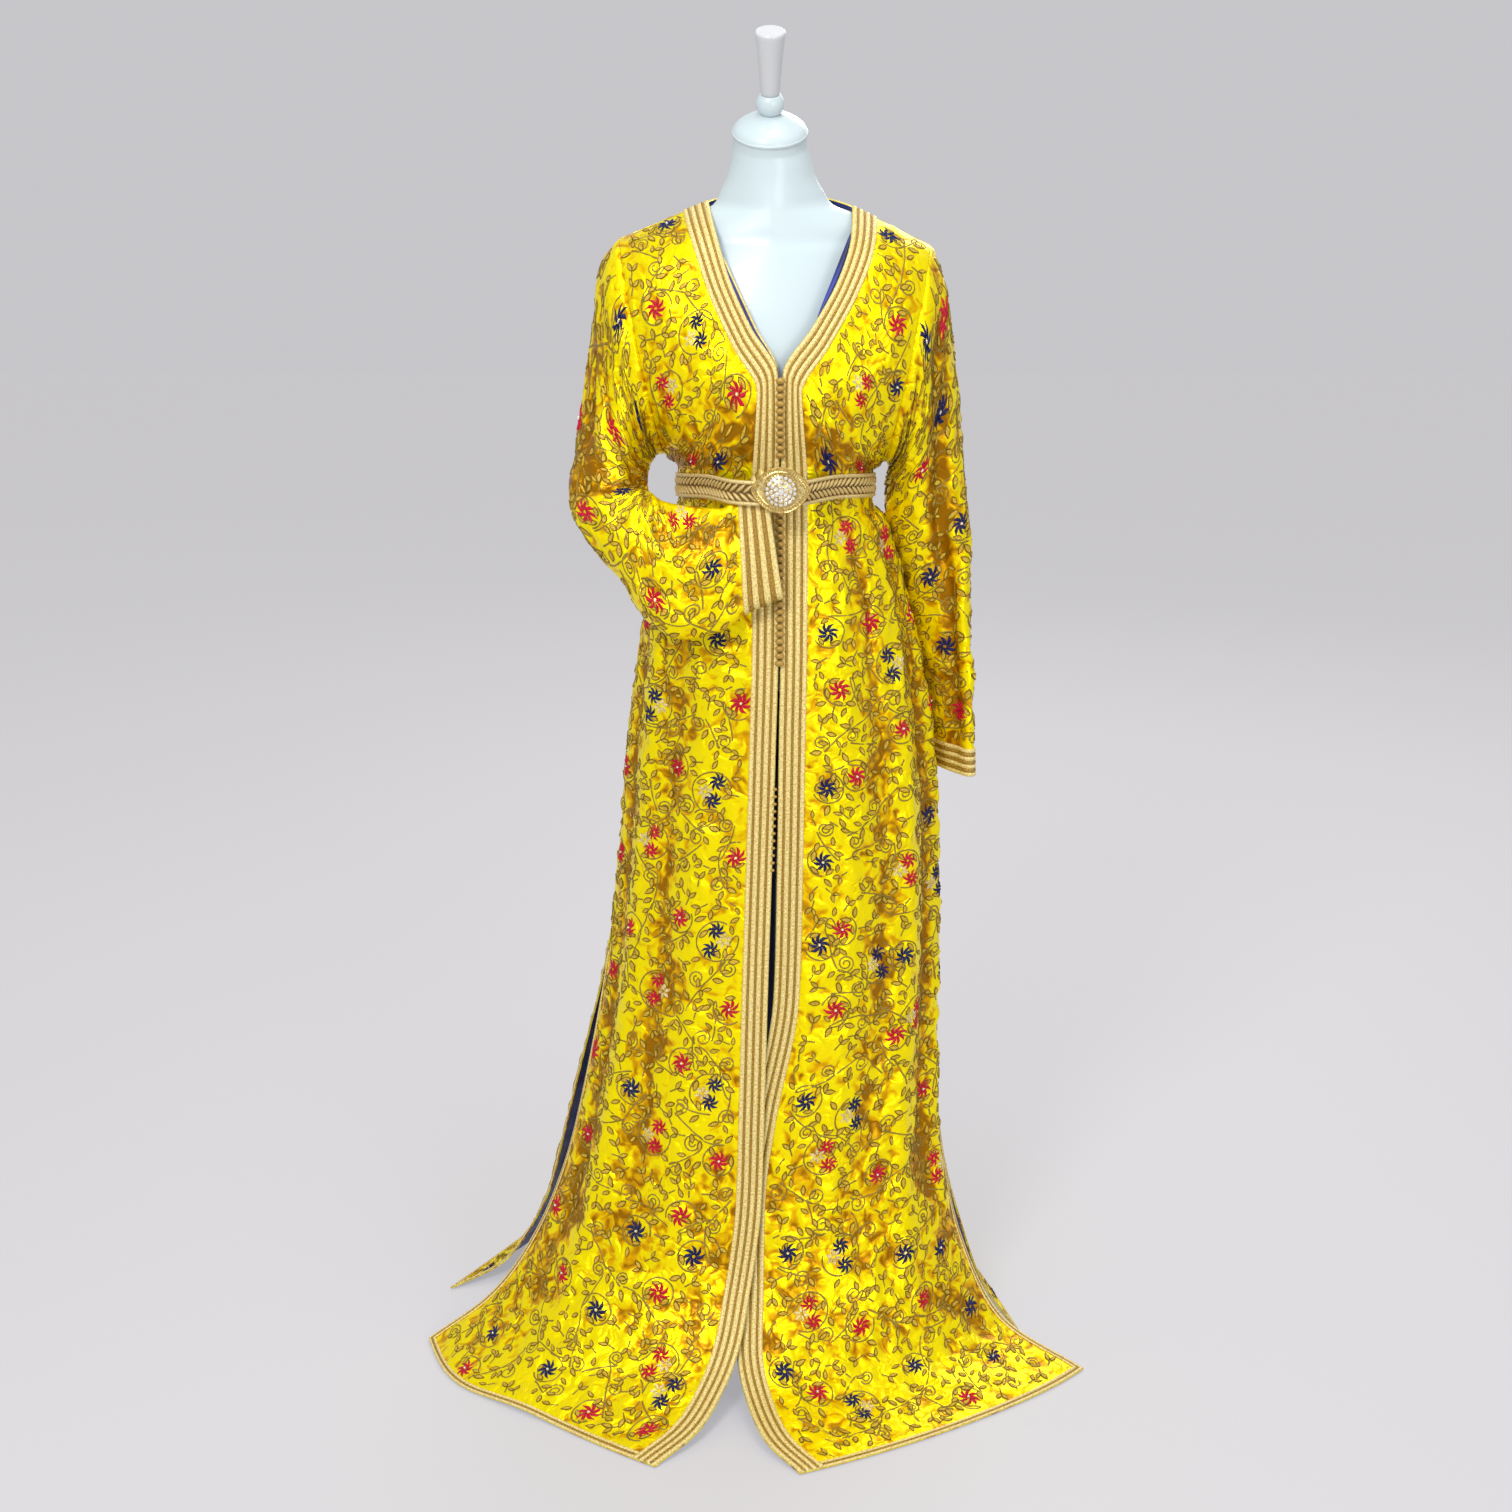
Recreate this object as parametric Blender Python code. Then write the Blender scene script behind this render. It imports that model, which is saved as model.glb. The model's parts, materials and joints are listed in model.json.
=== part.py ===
# Moroccan kaftan on a limbless dress form with a pole stand.
# Metres, +Z up. The form faces -Y, so the wearer's right is -X. The origin is the middle of the stand's foot.

import math

import bmesh
import bpy
import numpy as np

# Driving dimensions
CLOTH = 0.002
SEAM_GAP = 0.0003
BAND_WIDTH = 0.032
BAND_BASE = 0.0015
BAND_CORD_RISE = 0.0009
BAND_CORDS = 4
EDGE_BAND_WIDTH = 0.009
EDGE_BAND_THICK = 0.0016
NECK_BAND_THICK = 0.0020
CUFF_CORDS = 4
CUFF_RINGS = {"right": 1.15, "left": 0.36}
UNDERARM_PINCH = 1.3
UNDERARM_EASE = 0.0012
FIRST_RING_STEP = 0.0004
KNOT_RADIUS = 0.0043
KNOT_SEAT = 0.93
KNOT_PITCH = 0.0088
KNOT_TOP = 1.2380
KNOT_BOTTOM = 0.8960
KNOTS_LEFT_OUT = (1.082, 1.146)
BELT_HEIGHT = 0.029
BELT_THICK = 0.003
BELT_GAP = 0.0006
BELT_FRONT_Z = 1.1125
BELT_BACK_Z = 1.074
BELT_FRONT_Y = -0.125
BELT_BACK_Y = 0.094
BELT_PLATE_Y = -0.1690
BELT_OVER_CUFF = -0.047
BELT_OFF_PLATE = 0.042
BELT_ON_CLOTH = (-0.072, 0.078)
BELT_END = 0.024
PLATE_CENTRE = (0.0115, -0.1728, 1.1170)
PLATE_HALF_LENGTH = 0.035
PLATE_HALF_HEIGHT = 0.0275
PLATE_THICK = 0.0045
PLATE_DOME_RADIUS = 0.0195
PLATE_DOME_RISE = 0.0065
CAP_TILT = math.radians(21)
POLE_RADIUS = 0.0125
FOOT_RADIUS = 0.155
FOOT_THICK = 0.012
HEM_BAND_CLEARANCE = 0.0006
KNOT_SIDESTEP = 0.0002

# Ends of the shoulder seams and the lowest points of the armholes
NECK_POINT = {"right": (-0.074, 0.0, 1.431), "left": (0.097, 0.0, 1.425)}
SHOULDER_POINT = {"right": (-0.181, 0.0, 1.387), "left": (0.190, 0.0, 1.380)}
UNDERARM_POINT = {"right": (-0.128, 0.0, 1.130), "left": (0.138, 0.0, 1.120)}
ARMHOLE_HALF_DEPTH = {"right": 0.078, "left": 0.080}

# Back neckline: its share of the back's width, its depth behind the shoulder seams and its rise
NECK_PLACE = 0.45
NECK_BACK_DEPTH = 0.064
NECK_BACK_RISE = 0.010

# Rows are numbered down the garment: 0 shoulder seam, 1 underarm, 2 waist, 3 to 6 hips and thighs,
# 7 to 9 the flare, 10 where the cloth meets the floor, 11 the hem. The side slits start at SLIT_ROW.
SIDE_SEAM_ROW = 1.7
WAIST_ROW = 2
SLIT_ROW = 5.9
LAST_ROW = 11
ROWS = (
    0, 0.125, 0.25, 0.375, 0.5, 0.625, 0.75, 0.875, 1, 1.35, SIDE_SEAM_ROW, WAIST_ROW, 2.3, 2.6, 3, 3.5, 4, 4.5,
    5, 5.45, SLIT_ROW, 6.4, 6.9, 7.4, 7.9, 8.3, 8.7, 9.1, 9.5, 9.9, 10.25, 10.6, 10.93, LAST_ROW,
)
FRONT_INNER_COLUMNS = 8
BACK_HALF_PLACES = (1, 0.97, 0.87, 0.77, 0.68, 0.594, NECK_PLACE, 0.34, 0.225, 0.11)
SLEEVE_SEGMENTS = 16
SLEEVE_BODY_RINGS = {"right": 17, "left": 16}
FORM_SEGMENTS = 28

EDGE_COLUMNS = ("row", "x", "y", "z")

# Centre edge of each front: down the neckline, the closed front and the parting to the hem's corner
FRONT_CENTRE_EDGE = {
    "right": (
        (0.00, -0.0740, 0.000, 1.431),
        (0.25, -0.0650, -0.056, 1.404),
        (0.50, -0.0490, -0.084, 1.352),
        (0.75, -0.0230, -0.106, 1.297),
        (1.00, 0.0080, -0.121, 1.246),
        (1.35, 0.0095, -0.1245, 1.195),
        (1.70, 0.0102, -0.122, 1.150),
        (2.30, 0.0102, -0.122, 1.083),
        (2.60, 0.0102, -0.1275, 1.050),
        (3.00, 0.0100, -0.143, 0.955),
        (4.00, 0.0065, -0.158, 0.800),
        (5.00, 0.0020, -0.170, 0.645),
        (6.00, -0.0030, -0.189, 0.484),
        (7.00, -0.0070, -0.208, 0.335),
        (8.00, -0.0110, -0.228, 0.220),
        (9.00, -0.0262, -0.266, 0.114),
        (9.50, -0.0370, -0.306, 0.070),
        (10.0, -0.0550, -0.350, 0.038),
        (10.5, -0.0860, -0.410, 0.014),
        (11.0, -0.1370, -0.466, 0.000),
    ),
    "left": (
        (0.00, 0.0970, 0.000, 1.425),
        (0.25, 0.0940, -0.058, 1.394),
        (0.50, 0.0790, -0.085, 1.350),
        (0.75, 0.0500, -0.106, 1.300),
        (1.00, 0.0140, -0.121, 1.246),
        (1.35, 0.0124, -0.1245, 1.195),
        (1.70, 0.0118, -0.122, 1.150),
        (2.30, 0.0118, -0.122, 1.083),
        (2.60, 0.0118, -0.1275, 1.050),
        (3.00, 0.0118, -0.143, 0.955),
        (4.00, 0.0100, -0.158, 0.800),
        (5.00, 0.0080, -0.168, 0.645),
        (6.00, 0.0040, -0.179, 0.484),
        (7.00, -0.0230, -0.198, 0.335),
        (8.00, -0.0380, -0.216, 0.220),
        (9.00, -0.0400, -0.2565, 0.1065),
        (9.50, -0.0415, -0.2960, 0.0620),
        (10.0, -0.0320, -0.3510, 0.0290),
        (10.5, -0.0080, -0.426, 0.012),
        (11.0, 0.0340, -0.481, 0.000),
    ),
}

# Side edge of each front: the side seam, then the free edge of the slit
FRONT_SIDE_EDGE = {
    "right": (
        (1.0, -0.1280, 0.000, 1.1300),
        (1.35, -0.1210, 0.000, 1.1255),
        (1.7, -0.1108, 0.000, 1.1180),
        (2.3, -0.1108, 0.000, 1.0675),
        (2.6, -0.1225, 0.000, 1.0480),
        (3.0, -0.1500, 0.000, 0.940),
        (4.0, -0.1760, 0.000, 0.780),
        (5.0, -0.1900, 0.000, 0.620),
        (6.0, -0.2080, -0.015, 0.465),
        (7.0, -0.2360, -0.065, 0.320),
        (8.0, -0.2640, -0.085, 0.212),
        (9.0, -0.3040, -0.100, 0.119),
        (10.0, -0.3600, -0.125, 0.046),
        (11.0, -0.4400, -0.165, 0.000),
    ),
    "left": (
        (1.0, 0.1380, 0.000, 1.1200),
        (1.35, 0.1315, 0.000, 1.1180),
        (1.7, 0.1238, 0.000, 1.1150),
        (2.3, 0.1238, 0.000, 1.0685),
        (2.6, 0.1395, 0.000, 1.0480),
        (3.0, 0.1690, 0.000, 0.940),
        (4.0, 0.2000, 0.000, 0.780),
        (5.0, 0.2120, 0.000, 0.620),
        (6.0, 0.2140, -0.015, 0.465),
        (7.0, 0.2140, -0.045, 0.330),
        (8.0, 0.2240, -0.065, 0.220),
        (9.0, 0.2480, -0.100, 0.115),
        (10.0, 0.3020, -0.155, 0.025),
        (11.0, 0.3970, -0.241, 0.000),
    ),
}

# Free edges of the back below the slits, on the wearer's right and left
BACK_SLIT_EDGE = {
    "right": (
        (5.5, -0.1975, 0.000, 0.545),
        (6.0, -0.2100, 0.012, 0.465),
        (7.0, -0.2420, 0.018, 0.330),
        (8.0, -0.2720, 0.022, 0.205),
        (9.0, -0.2980, 0.028, 0.098),
        (10.0, -0.3220, 0.040, 0.018),
        (11.0, -0.3350, 0.050, 0.000),
    ),
    "left": (
        (5.5, 0.2145, 0.000, 0.545),
        (6.0, 0.2150, 0.012, 0.465),
        (7.0, 0.2160, 0.018, 0.330),
        (8.0, 0.2260, 0.010, 0.205),
        (9.0, 0.2480, 0.012, 0.098),
        (10.0, 0.2600, 0.020, 0.018),
        (11.0, 0.2660, 0.030, 0.000),
    ),
}
# The back's hem corners are dragged out sideways and forwards along the floor
CORNER_DRAG = {"right": (-0.092, -0.082, 0.0), "left": (0.060, -0.192, 0.0)}
CORNER_DRAG_FROM_ROW = 8.6
CORNER_DRAG_FROM_PLACE = 0.72
# The fronts' hems swell forwards beside their side corners
HEM_SWELL = {"right": 0.045, "left": 0.004}
HEM_SWELL_FROM_ROW = 9.4

BACK_CENTRE_COLUMNS = ("row", "y", "z")
BACK_CENTRE = (
    (0.0, 0.064, 1.438),
    (0.25, 0.084, 1.405),
    (0.5, 0.097, 1.345),
    (0.75, 0.105, 1.272),
    (1.0, 0.108, 1.190),
    (1.35, 0.101, 1.148),
    (1.7, 0.0915, 1.100),
    (2.3, 0.0915, 1.050),
    (2.6, 0.0985, 1.022),
    (3.0, 0.120, 0.945),
    (4.0, 0.138, 0.790),
    (5.0, 0.147, 0.635),
    (6.0, 0.157, 0.478),
    (7.0, 0.170, 0.330),
    (8.0, 0.186, 0.205),
    (9.0, 0.212, 0.100),
    (10.0, 0.268, 0.022),
    (11.0, 0.365, 0.000),
)

# How far a front row turns round the body in degrees, how far its middle stands forward, how straight it lies
SECTION_COLUMNS = ("row", "turn", "crown", "straight")
FRONT_SECTION = (
    (0.0, 30, 0.003, 0.0),
    (0.5, 55, 0.016, 0.0),
    (1.0, 80, 0.013, 0.0),
    (1.7, 90, 0.001, 0.0),
    (2.3, 90, 0.001, 0.0),
    (4.0, 90, 0.004, 0.0),
    (8.0, 85, 0.004, 0.0),
    (10.0, 65, 0.003, 0.35),
    (11.0, 30, 0.000, 0.65),
)

# Hanging folds: place across the panel, half width, height out of the cloth, first and last row
FOLD_GROWS_OVER = 1.6
FOLD_ENDS_OVER = 1.0
FOLDS = {
    "right": (
        (0.30, 0.060, 0.0050, 2.35, 9.5),
        (0.48, 0.055, -0.0060, 2.35, 8.5),
        (0.64, 0.055, 0.0060, 2.4, 10.5),
        (0.80, 0.050, -0.0070, 2.4, 9.0),
        (0.55, 0.140, 0.0060, 8.5, 11.6),
    ),
    "left": (
        (0.28, 0.060, 0.0040, 2.35, 9.0),
        (0.45, 0.055, -0.0060, 2.35, 8.0),
        (0.60, 0.055, 0.0070, 2.35, 10.0),
        (0.76, 0.050, -0.0080, 2.35, 8.5),
        (0.88, 0.040, 0.0060, 2.4, 9.0),
    ),
    "back": (
        (-0.78, 0.075, -0.0070, 2.35, 9.5),
        (-0.56, 0.075, 0.0090, 2.35, 10.5),
        (-0.34, 0.070, -0.0080, 2.35, 10.0),
        (-0.11, 0.075, 0.0100, 2.35, 10.8),
        (0.11, 0.070, -0.0080, 2.35, 9.5),
        (0.34, 0.075, 0.0100, 2.35, 10.6),
        (0.57, 0.075, -0.0090, 2.35, 10.0),
        (0.78, 0.070, -0.0050, 2.35, 9.5),
    ),
}

# Sleeve sections: the edge next to the body, the outer edge, and the half thickness between them
SLEEVE_COLUMNS = ("ring", "ix", "iy", "iz", "ox", "oy", "oz", "half_depth")
SLEEVE = {
    "right": (
        (0, -0.1280, 0.000, 1.130, -0.1810, 0.000, 1.387, 0.078),
        (1, -0.1390, -0.003, 1.129, -0.2000, -0.002, 1.357, 0.074),
        (2, -0.1435, -0.010, 1.126, -0.2130, -0.008, 1.275, 0.066),
        (3, -0.1475, -0.023, 1.121, -0.2235, -0.024, 1.205, 0.056),
        (4, -0.1500, -0.044, 1.113, -0.2330, -0.050, 1.140, 0.047),
        (5, -0.1505, -0.066, 1.103, -0.2410, -0.086, 1.093, 0.042),
        (6, -0.1475, -0.087, 1.098, -0.2140, -0.118, 1.045, 0.039),
        (7, -0.1400, -0.105, 1.095, -0.1770, -0.142, 1.005, 0.035),
        (8, -0.1250, -0.122, 1.091, -0.1490, -0.157, 0.963, 0.030),
        (9, -0.0950, -0.139, 1.089, -0.1050, -0.168, 0.938, 0.022),
        (10, -0.0600, -0.146, 1.088, -0.0550, -0.169, 0.952, 0.015),
        (11, -0.0350, -0.147, 1.110, -0.0280, -0.168, 0.972, 0.0095),
        (12, -0.0080, -0.147, 1.136, 0.0140, -0.167, 0.990, 0.0065),
    ),
    "left": (
        (0, 0.1380, 0.000, 1.120, 0.1900, 0.000, 1.380, 0.080),
        (1, 0.1460, 0.003, 1.118, 0.2030, -0.001, 1.355, 0.077),
        (2, 0.1480, 0.012, 1.113, 0.2142, -0.002, 1.295, 0.070),
        (3, 0.1480, 0.024, 1.104, 0.2225, -0.003, 1.235, 0.062),
        (4, 0.1470, 0.036, 1.088, 0.2290, -0.003, 1.170, 0.053),
        (5, 0.1480, 0.048, 1.045, 0.2362, -0.004, 1.090, 0.044),
        (6, 0.1600, 0.058, 0.975, 0.2425, -0.008, 1.000, 0.030),
        (7, 0.1730, 0.070, 0.900, 0.2467, -0.015, 0.910, 0.018),
        (8, 0.1870, 0.076, 0.820, 0.2512, -0.022, 0.820, 0.014),
        (9, 0.1960, 0.078, 0.722, 0.2545, -0.030, 0.722, 0.010),
    ),
}
# Long folds of a sleeve: place round it in degrees from the outer edge towards the front, half width in
# degrees, height, first and last ring
SLEEVE_FOLD_FADES_OVER = 1.2
SLEEVE_FOLDS = {
    "right": (
        (35, 16, -0.0060, 1.0, 6.0),
        (95, 18, 0.0050, 1.5, 5.5),
        (120, 20, -0.0050, 6.5, 11.5),
    ),
    "left": (
        (48, 16, -0.0100, 1.0, 9.2),
        (95, 18, 0.0040, 2.0, 8.0),
        (250, 20, -0.0060, 1.0, 9.0),
    ),
}

# Dress form sections: height, reach to the wearer's right, left, front and back, and the outline's power.
# The higher the power, the fuller the outline.
FORM_SECTION = (
    (0.842, 0.085, 0.095, 0.060, 0.060, 2.0),
    (0.850, 0.112, 0.122, 0.085, 0.083, 2.0),
    (0.875, 0.122, 0.133, 0.098, 0.094, 2.0),
    (0.980, 0.117, 0.127, 0.107, 0.093, 2.0),
    (1.090, 0.104, 0.112, 0.104, 0.080, 2.0),
    (1.170, 0.108, 0.118, 0.106, 0.084, 2.0),
    (1.250, 0.130, 0.138, 0.104, 0.088, 2.0),
    (1.300, 0.146, 0.152, 0.090, 0.084, 2.0),
    (1.345, 0.154, 0.160, 0.074, 0.068, 1.8),
    (1.378, 0.160, 0.164, 0.061, 0.050, 1.5),
    (1.393, 0.158, 0.156, 0.055, 0.042, 1.35),
    (1.408, 0.126, 0.129, 0.0525, 0.038, 1.35),
    (1.420, 0.0930, 0.098, 0.0500, 0.036, 1.40),
    (1.4290, 0.0690, 0.075, 0.0482, 0.0355, 1.47),
    (1.4450, 0.0600, 0.0635, 0.0462, 0.0365, 1.62),
    (1.4600, 0.0535, 0.0550, 0.0450, 0.0385, 1.80),
    (1.4780, 0.0485, 0.0490, 0.0447, 0.0405, 1.95),
)
NECK_TOP = (-0.001, -0.007, 1.512)
NECK_TOP_RADIUS = 0.0440
# Turned pieces above the neck: rise above its slanted top, and radius
CAP_PROFILE = (
    (0.0003, 0.0448), (0.0040, 0.0448), (0.0075, 0.0435), (0.0150, 0.0350), (0.0230, 0.0200),
    (0.0262, 0.0130),
)
BALL_PROFILE = ((0.0265, 0.0120), (0.0300, 0.0150), (0.0370, 0.0165), (0.0440, 0.0155), (0.0500, 0.0120))
FINIAL_PROFILE = (
    (0.0503, 0.0110), (0.0560, 0.0117), (0.0900, 0.0142), (0.1230, 0.0178), (0.1260, 0.0180),
    (0.1275, 0.0165),
)
TURNED_SEGMENTS = 20
POLE_SEGMENTS = 16
FOOT_SEGMENTS = 40

# Strap section: height as a share of the belt's, and depth as a share of its thickness
BELT_PROFILE = (
    (-0.5, 0.0), (-0.5, 1.0), (-0.36, 1.0), (-0.30, 0.6), (0.30, 0.6), (0.36, 1.0), (0.5, 1.0), (0.5, 0.0),
)
# Plate section: share of the eye outline and of the plate's thickness
PLATE_SEGMENTS = 32
PLATE_RIM = ((1.0, 0.0), (1.0, 0.6), (0.90, 1.0), (0.78, 0.75))
# Dome on the plate: share of its radius and height, where heights over 1 stand above the plate
PLATE_DOME = ((1.0, 0.80), (0.86, 1.0), (0.45, 2.1))
PLATE_DOME_LIMIT = 0.76


def column(rows, names, name, at):
    """Smooth value of a table's column at a row number."""
    steps = np.array([row[0] for row in rows], float)
    values = np.array([row[names.index(name)] for row in rows], float)
    rises = np.diff(values) / np.diff(steps)
    slopes = np.gradient(values, steps)
    level = rises[:-1] * rises[1:] <= 0
    slopes[1:-1][level] = 0.0
    limit = 2.0 * np.minimum(np.abs(rises[:-1]), np.abs(rises[1:]))
    slopes[1:-1] = np.clip(slopes[1:-1], -limit, limit)
    at = np.clip(at, steps[0], steps[-1])
    i = np.clip(np.searchsorted(steps, at, side="right") - 1, 0, len(steps) - 2)
    span = steps[i + 1] - steps[i]
    t = (at - steps[i]) / span
    ease_in = t * (1 - t) ** 2 * span * slopes[i]
    ease_out = -(t ** 2) * (1 - t) * span * slopes[i + 1]
    blend = t * t * (3 - 2 * t)
    return values[i] * (1 - blend) + values[i + 1] * blend + ease_in + ease_out


def edge_point(rows, at):
    return np.array([column(rows, EDGE_COLUMNS, axis, at) for axis in "xyz"])


def smooth_step(t):
    t = np.clip(t, 0.0, 1.0)
    return t * t * (3 - 2 * t)


def lens_depth(angle):
    """Depth of a sleeve's section: round towards its outer edge, pinched towards its inner fold."""
    reach = math.sin(angle)
    power = 1.0 if math.cos(angle) > 0 else UNDERARM_PINCH
    return math.copysign(abs(reach) ** power, reach)


def armhole_point(side, share, sign):
    """Point on the armhole: share 0 at the shoulder, 1 under the arm; sign -1 in front, 1 behind."""
    top = np.array(SHOULDER_POINT[side])
    low = np.array(UNDERARM_POINT[side])
    point = (top + low) / 2 + (top - low) / 2 * math.cos(math.pi * share)
    point[1] += sign * ARMHOLE_HALF_DEPTH[side] * lens_depth(math.pi * share)
    return point


def front_side_point(side, row):
    if row <= 1:
        return armhole_point(side, row, -1)
    return edge_point(FRONT_SIDE_EDGE[side], row)


def front_point(side, place, row):
    """Point on a front: place 0 at its centre edge and 1 at its side."""
    centre = edge_point(FRONT_CENTRE_EDGE[side], row)
    outer = front_side_point(side, row)
    turn = math.radians(column(FRONT_SECTION, SECTION_COLUMNS, "turn", row))
    crown = column(FRONT_SECTION, SECTION_COLUMNS, "crown", row)
    straight = column(FRONT_SECTION, SECTION_COLUMNS, "straight", row)
    across = math.sin(place * turn) / math.sin(turn)
    forward = (math.cos(place * turn) - math.cos(turn)) / (1 - math.cos(turn))
    forward += (1 - place - forward) * straight
    point = centre + (outer - centre) * across
    point[1] = outer[1] + (centre[1] - outer[1]) * forward - crown * math.sin(math.pi * place)
    swell = HEM_SWELL[side] * smooth_step((row - HEM_SWELL_FROM_ROW) / (LAST_ROW - HEM_SWELL_FROM_ROW))
    point[1] -= swell * math.sin(math.pi * place ** 4)
    return point


def back_edge_point(side, row):
    if row <= 1:
        return armhole_point(side, row, 1)
    if row <= 5.5:
        return edge_point(FRONT_SIDE_EDGE[side], row)
    return edge_point(BACK_SLIT_EDGE[side], row)


def back_top_point(place):
    """Shoulder seams and back neckline: place -1 at the right shoulder, 1 at the left."""
    if abs(place) > NECK_PLACE:
        side = "left" if place > 0 else "right"
        t = (abs(place) - NECK_PLACE) / (1 - NECK_PLACE)
        return np.array(NECK_POINT[side]) * (1 - t) + np.array(SHOULDER_POINT[side]) * t
    t = place / NECK_PLACE / 2 + 0.5
    round_back = math.sin(math.pi * t)
    point = np.array(NECK_POINT["right"]) * (1 - t) + np.array(NECK_POINT["left"]) * t
    point[1] += NECK_BACK_DEPTH * round_back ** 0.6
    point[2] += NECK_BACK_RISE * round_back
    return point


def back_row_point(place, row):
    right = back_edge_point("right", row)
    left = back_edge_point("left", row)
    angle = place * math.pi / 2
    point = right + (left - right) * (math.sin(angle) + 1) / 2
    middle = (right + left) / 2
    centre_y = column(BACK_CENTRE, BACK_CENTRE_COLUMNS, "y", row)
    centre_z = column(BACK_CENTRE, BACK_CENTRE_COLUMNS, "z", row)
    point[1] += (centre_y - middle[1]) * math.cos(angle)
    point[2] += (centre_z - middle[2]) * math.cos(angle) ** 2
    return point


def back_point(place, row):
    """Point on the back: place -1 at the right side, 1 at the left."""
    point = back_row_point(place, row)
    shaping = 1 - smooth_step(row / 0.8)
    if shaping > 0:
        point += (back_top_point(place) - back_row_point(place, 0.0)) * shaping
    drag = max(0.0, (row - CORNER_DRAG_FROM_ROW) / (LAST_ROW - CORNER_DRAG_FROM_ROW)) ** 1.6
    side = "left" if place > 0 else "right"
    near = max(0.0, (abs(place) - CORNER_DRAG_FROM_PLACE) / (1 - CORNER_DRAG_FROM_PLACE)) ** 2
    return point + np.array(CORNER_DRAG[side]) * drag * near


def fold_height(folds, place, row):
    """Height of the hanging folds at a place and row."""
    height = 0.0
    for middle, half_width, rise, first, last in folds:
        grow = smooth_step((row - first) / FOLD_GROWS_OVER) * smooth_step((last - row) / FOLD_ENDS_OVER)
        height += rise * grow * math.exp(-(((place - middle) / half_width) ** 2))
    return height


def grid_normals(grid, closed=False, turned=False):
    """Unit normals of a grid whose rows run down the cloth."""
    if closed:
        across = np.roll(grid, -1, axis=1) - np.roll(grid, 1, axis=1)
    else:
        across = np.gradient(grid, axis=1)
    normal = np.cross(np.gradient(grid, axis=0), across)
    normal /= np.linalg.norm(normal, axis=2, keepdims=True)
    return -normal if turned else normal


def by_distance(curve, steps=48):
    """Function from a distance along a curve of place 0 to 1 to the place, and the curve's length."""
    places = np.linspace(0, 1, steps + 1)
    points = np.array([curve(place) for place in places])
    runs = np.concatenate(([0.0], np.cumsum(np.linalg.norm(np.diff(points, axis=0), axis=1))))
    return (lambda distance: np.interp(distance, runs, places)), runs[-1]


def lay_folds(grid, normals, folds, places, rows):
    heights = np.array([[fold_height(folds, p, v) for p in line] for line, v in zip(places, rows)])
    folded = grid + normals * heights[:, :, None]
    folded[:, :, 2] = np.maximum(folded[:, :, 2], 0.0)
    return folded


def front_grid(side):
    """Inner points of a front: two columns under the band, then even ones, then the edge band's."""
    places = []
    for row in ROWS:
        place_at, length = by_distance(lambda place: front_point(side, place, row))
        inner = np.linspace(BAND_WIDTH, length - EDGE_BAND_WIDTH, FRONT_INNER_COLUMNS + 1)
        distances = np.concatenate(([0.0, BAND_WIDTH / 2], inner, [length]))
        places.append(place_at(distances))
    grid = np.array([[front_point(side, p, row) for p in line] for line, row in zip(places, ROWS)])
    turned = side == "right"
    grid = lay_folds(grid, grid_normals(grid, turned=turned), FOLDS[side], places, ROWS)
    return grid, grid_normals(grid, turned=turned)


def back_grid():
    places = [-p for p in BACK_HALF_PLACES] + [0] + list(reversed(BACK_HALF_PLACES))
    grid = np.array([[back_point(p, row) for p in places] for row in ROWS])
    seam = np.zeros_like(grid)
    seam[:, :, 1] = SEAM_GAP
    seam[ROWS.index(SIDE_SEAM_ROW):, :, 1] = SEAM_GAP * 2
    normals = grid_normals(grid, turned=True)
    grid = lay_folds(grid + seam, normals, FOLDS["back"], [places] * len(grid), ROWS)
    return grid, grid_normals(grid, turned=True)


def sleeve_ring(side, ring, angle):
    """Point on a sleeve: angle 0 at its outer edge, 90 degrees at the front, 180 next to the body."""
    def value(name):
        return column(SLEEVE[side], SLEEVE_COLUMNS, name, ring)

    inner = np.array([value("ix"), value("iy"), value("iz")])
    outer = np.array([value("ox"), value("oy"), value("oz")])
    width = (outer - inner) / 2
    forward = np.array([0.0, -1.0, 0.0])
    forward -= width * (forward @ width) / (width @ width)
    forward /= np.linalg.norm(forward)
    front = value("half_depth") * lens_depth(angle)
    return (inner + outer) / 2 + width * math.cos(angle) + forward * front


def sleeve_fold_height(side, ring, angle):
    height = 0.0
    for fold in SLEEVE_FOLDS[side]:
        middle, half_width, rise, first, last = fold
        away = (math.degrees(angle) - middle + 180) % 360 - 180
        grow = smooth_step((ring - first) / SLEEVE_FOLD_FADES_OVER)
        grow *= smooth_step((last - ring) / SLEEVE_FOLD_FADES_OVER)
        height += rise * grow * math.exp(-((away / half_width) ** 2))
    return height


def sleeve_rings(side):
    """Ring numbers down a sleeve; the last three carry the cuff band."""
    last = SLEEVE[side][-1][0]
    cuff = CUFF_RINGS[side]
    body = np.linspace(0, last - cuff, SLEEVE_BODY_RINGS[side])
    return list(body) + [last - cuff / 2, last]


def sleeve_grid(side, edge_reach):
    rings = sleeve_rings(side)
    angles = [2 * math.pi * k / SLEEVE_SEGMENTS for k in range(SLEEVE_SEGMENTS)]
    grid = np.array([[sleeve_ring(side, ring, angle) for angle in angles] for ring in rings])
    turned = side == "left"
    normals = grid_normals(grid, closed=True, turned=turned)
    heights = np.array([[sleeve_fold_height(side, ring, angle) for angle in angles] for ring in rings])
    grid = grid + normals * heights[:, :, None]
    outward = 1 if side == "left" else -1
    low = np.array([(1 - math.cos(angle)) / 2 for angle in angles])
    grid[0, :, 0] += outward * (edge_reach + FIRST_RING_STEP + UNDERARM_EASE * low ** 2)
    return grid, grid_normals(grid, closed=True, turned=turned)


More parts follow.
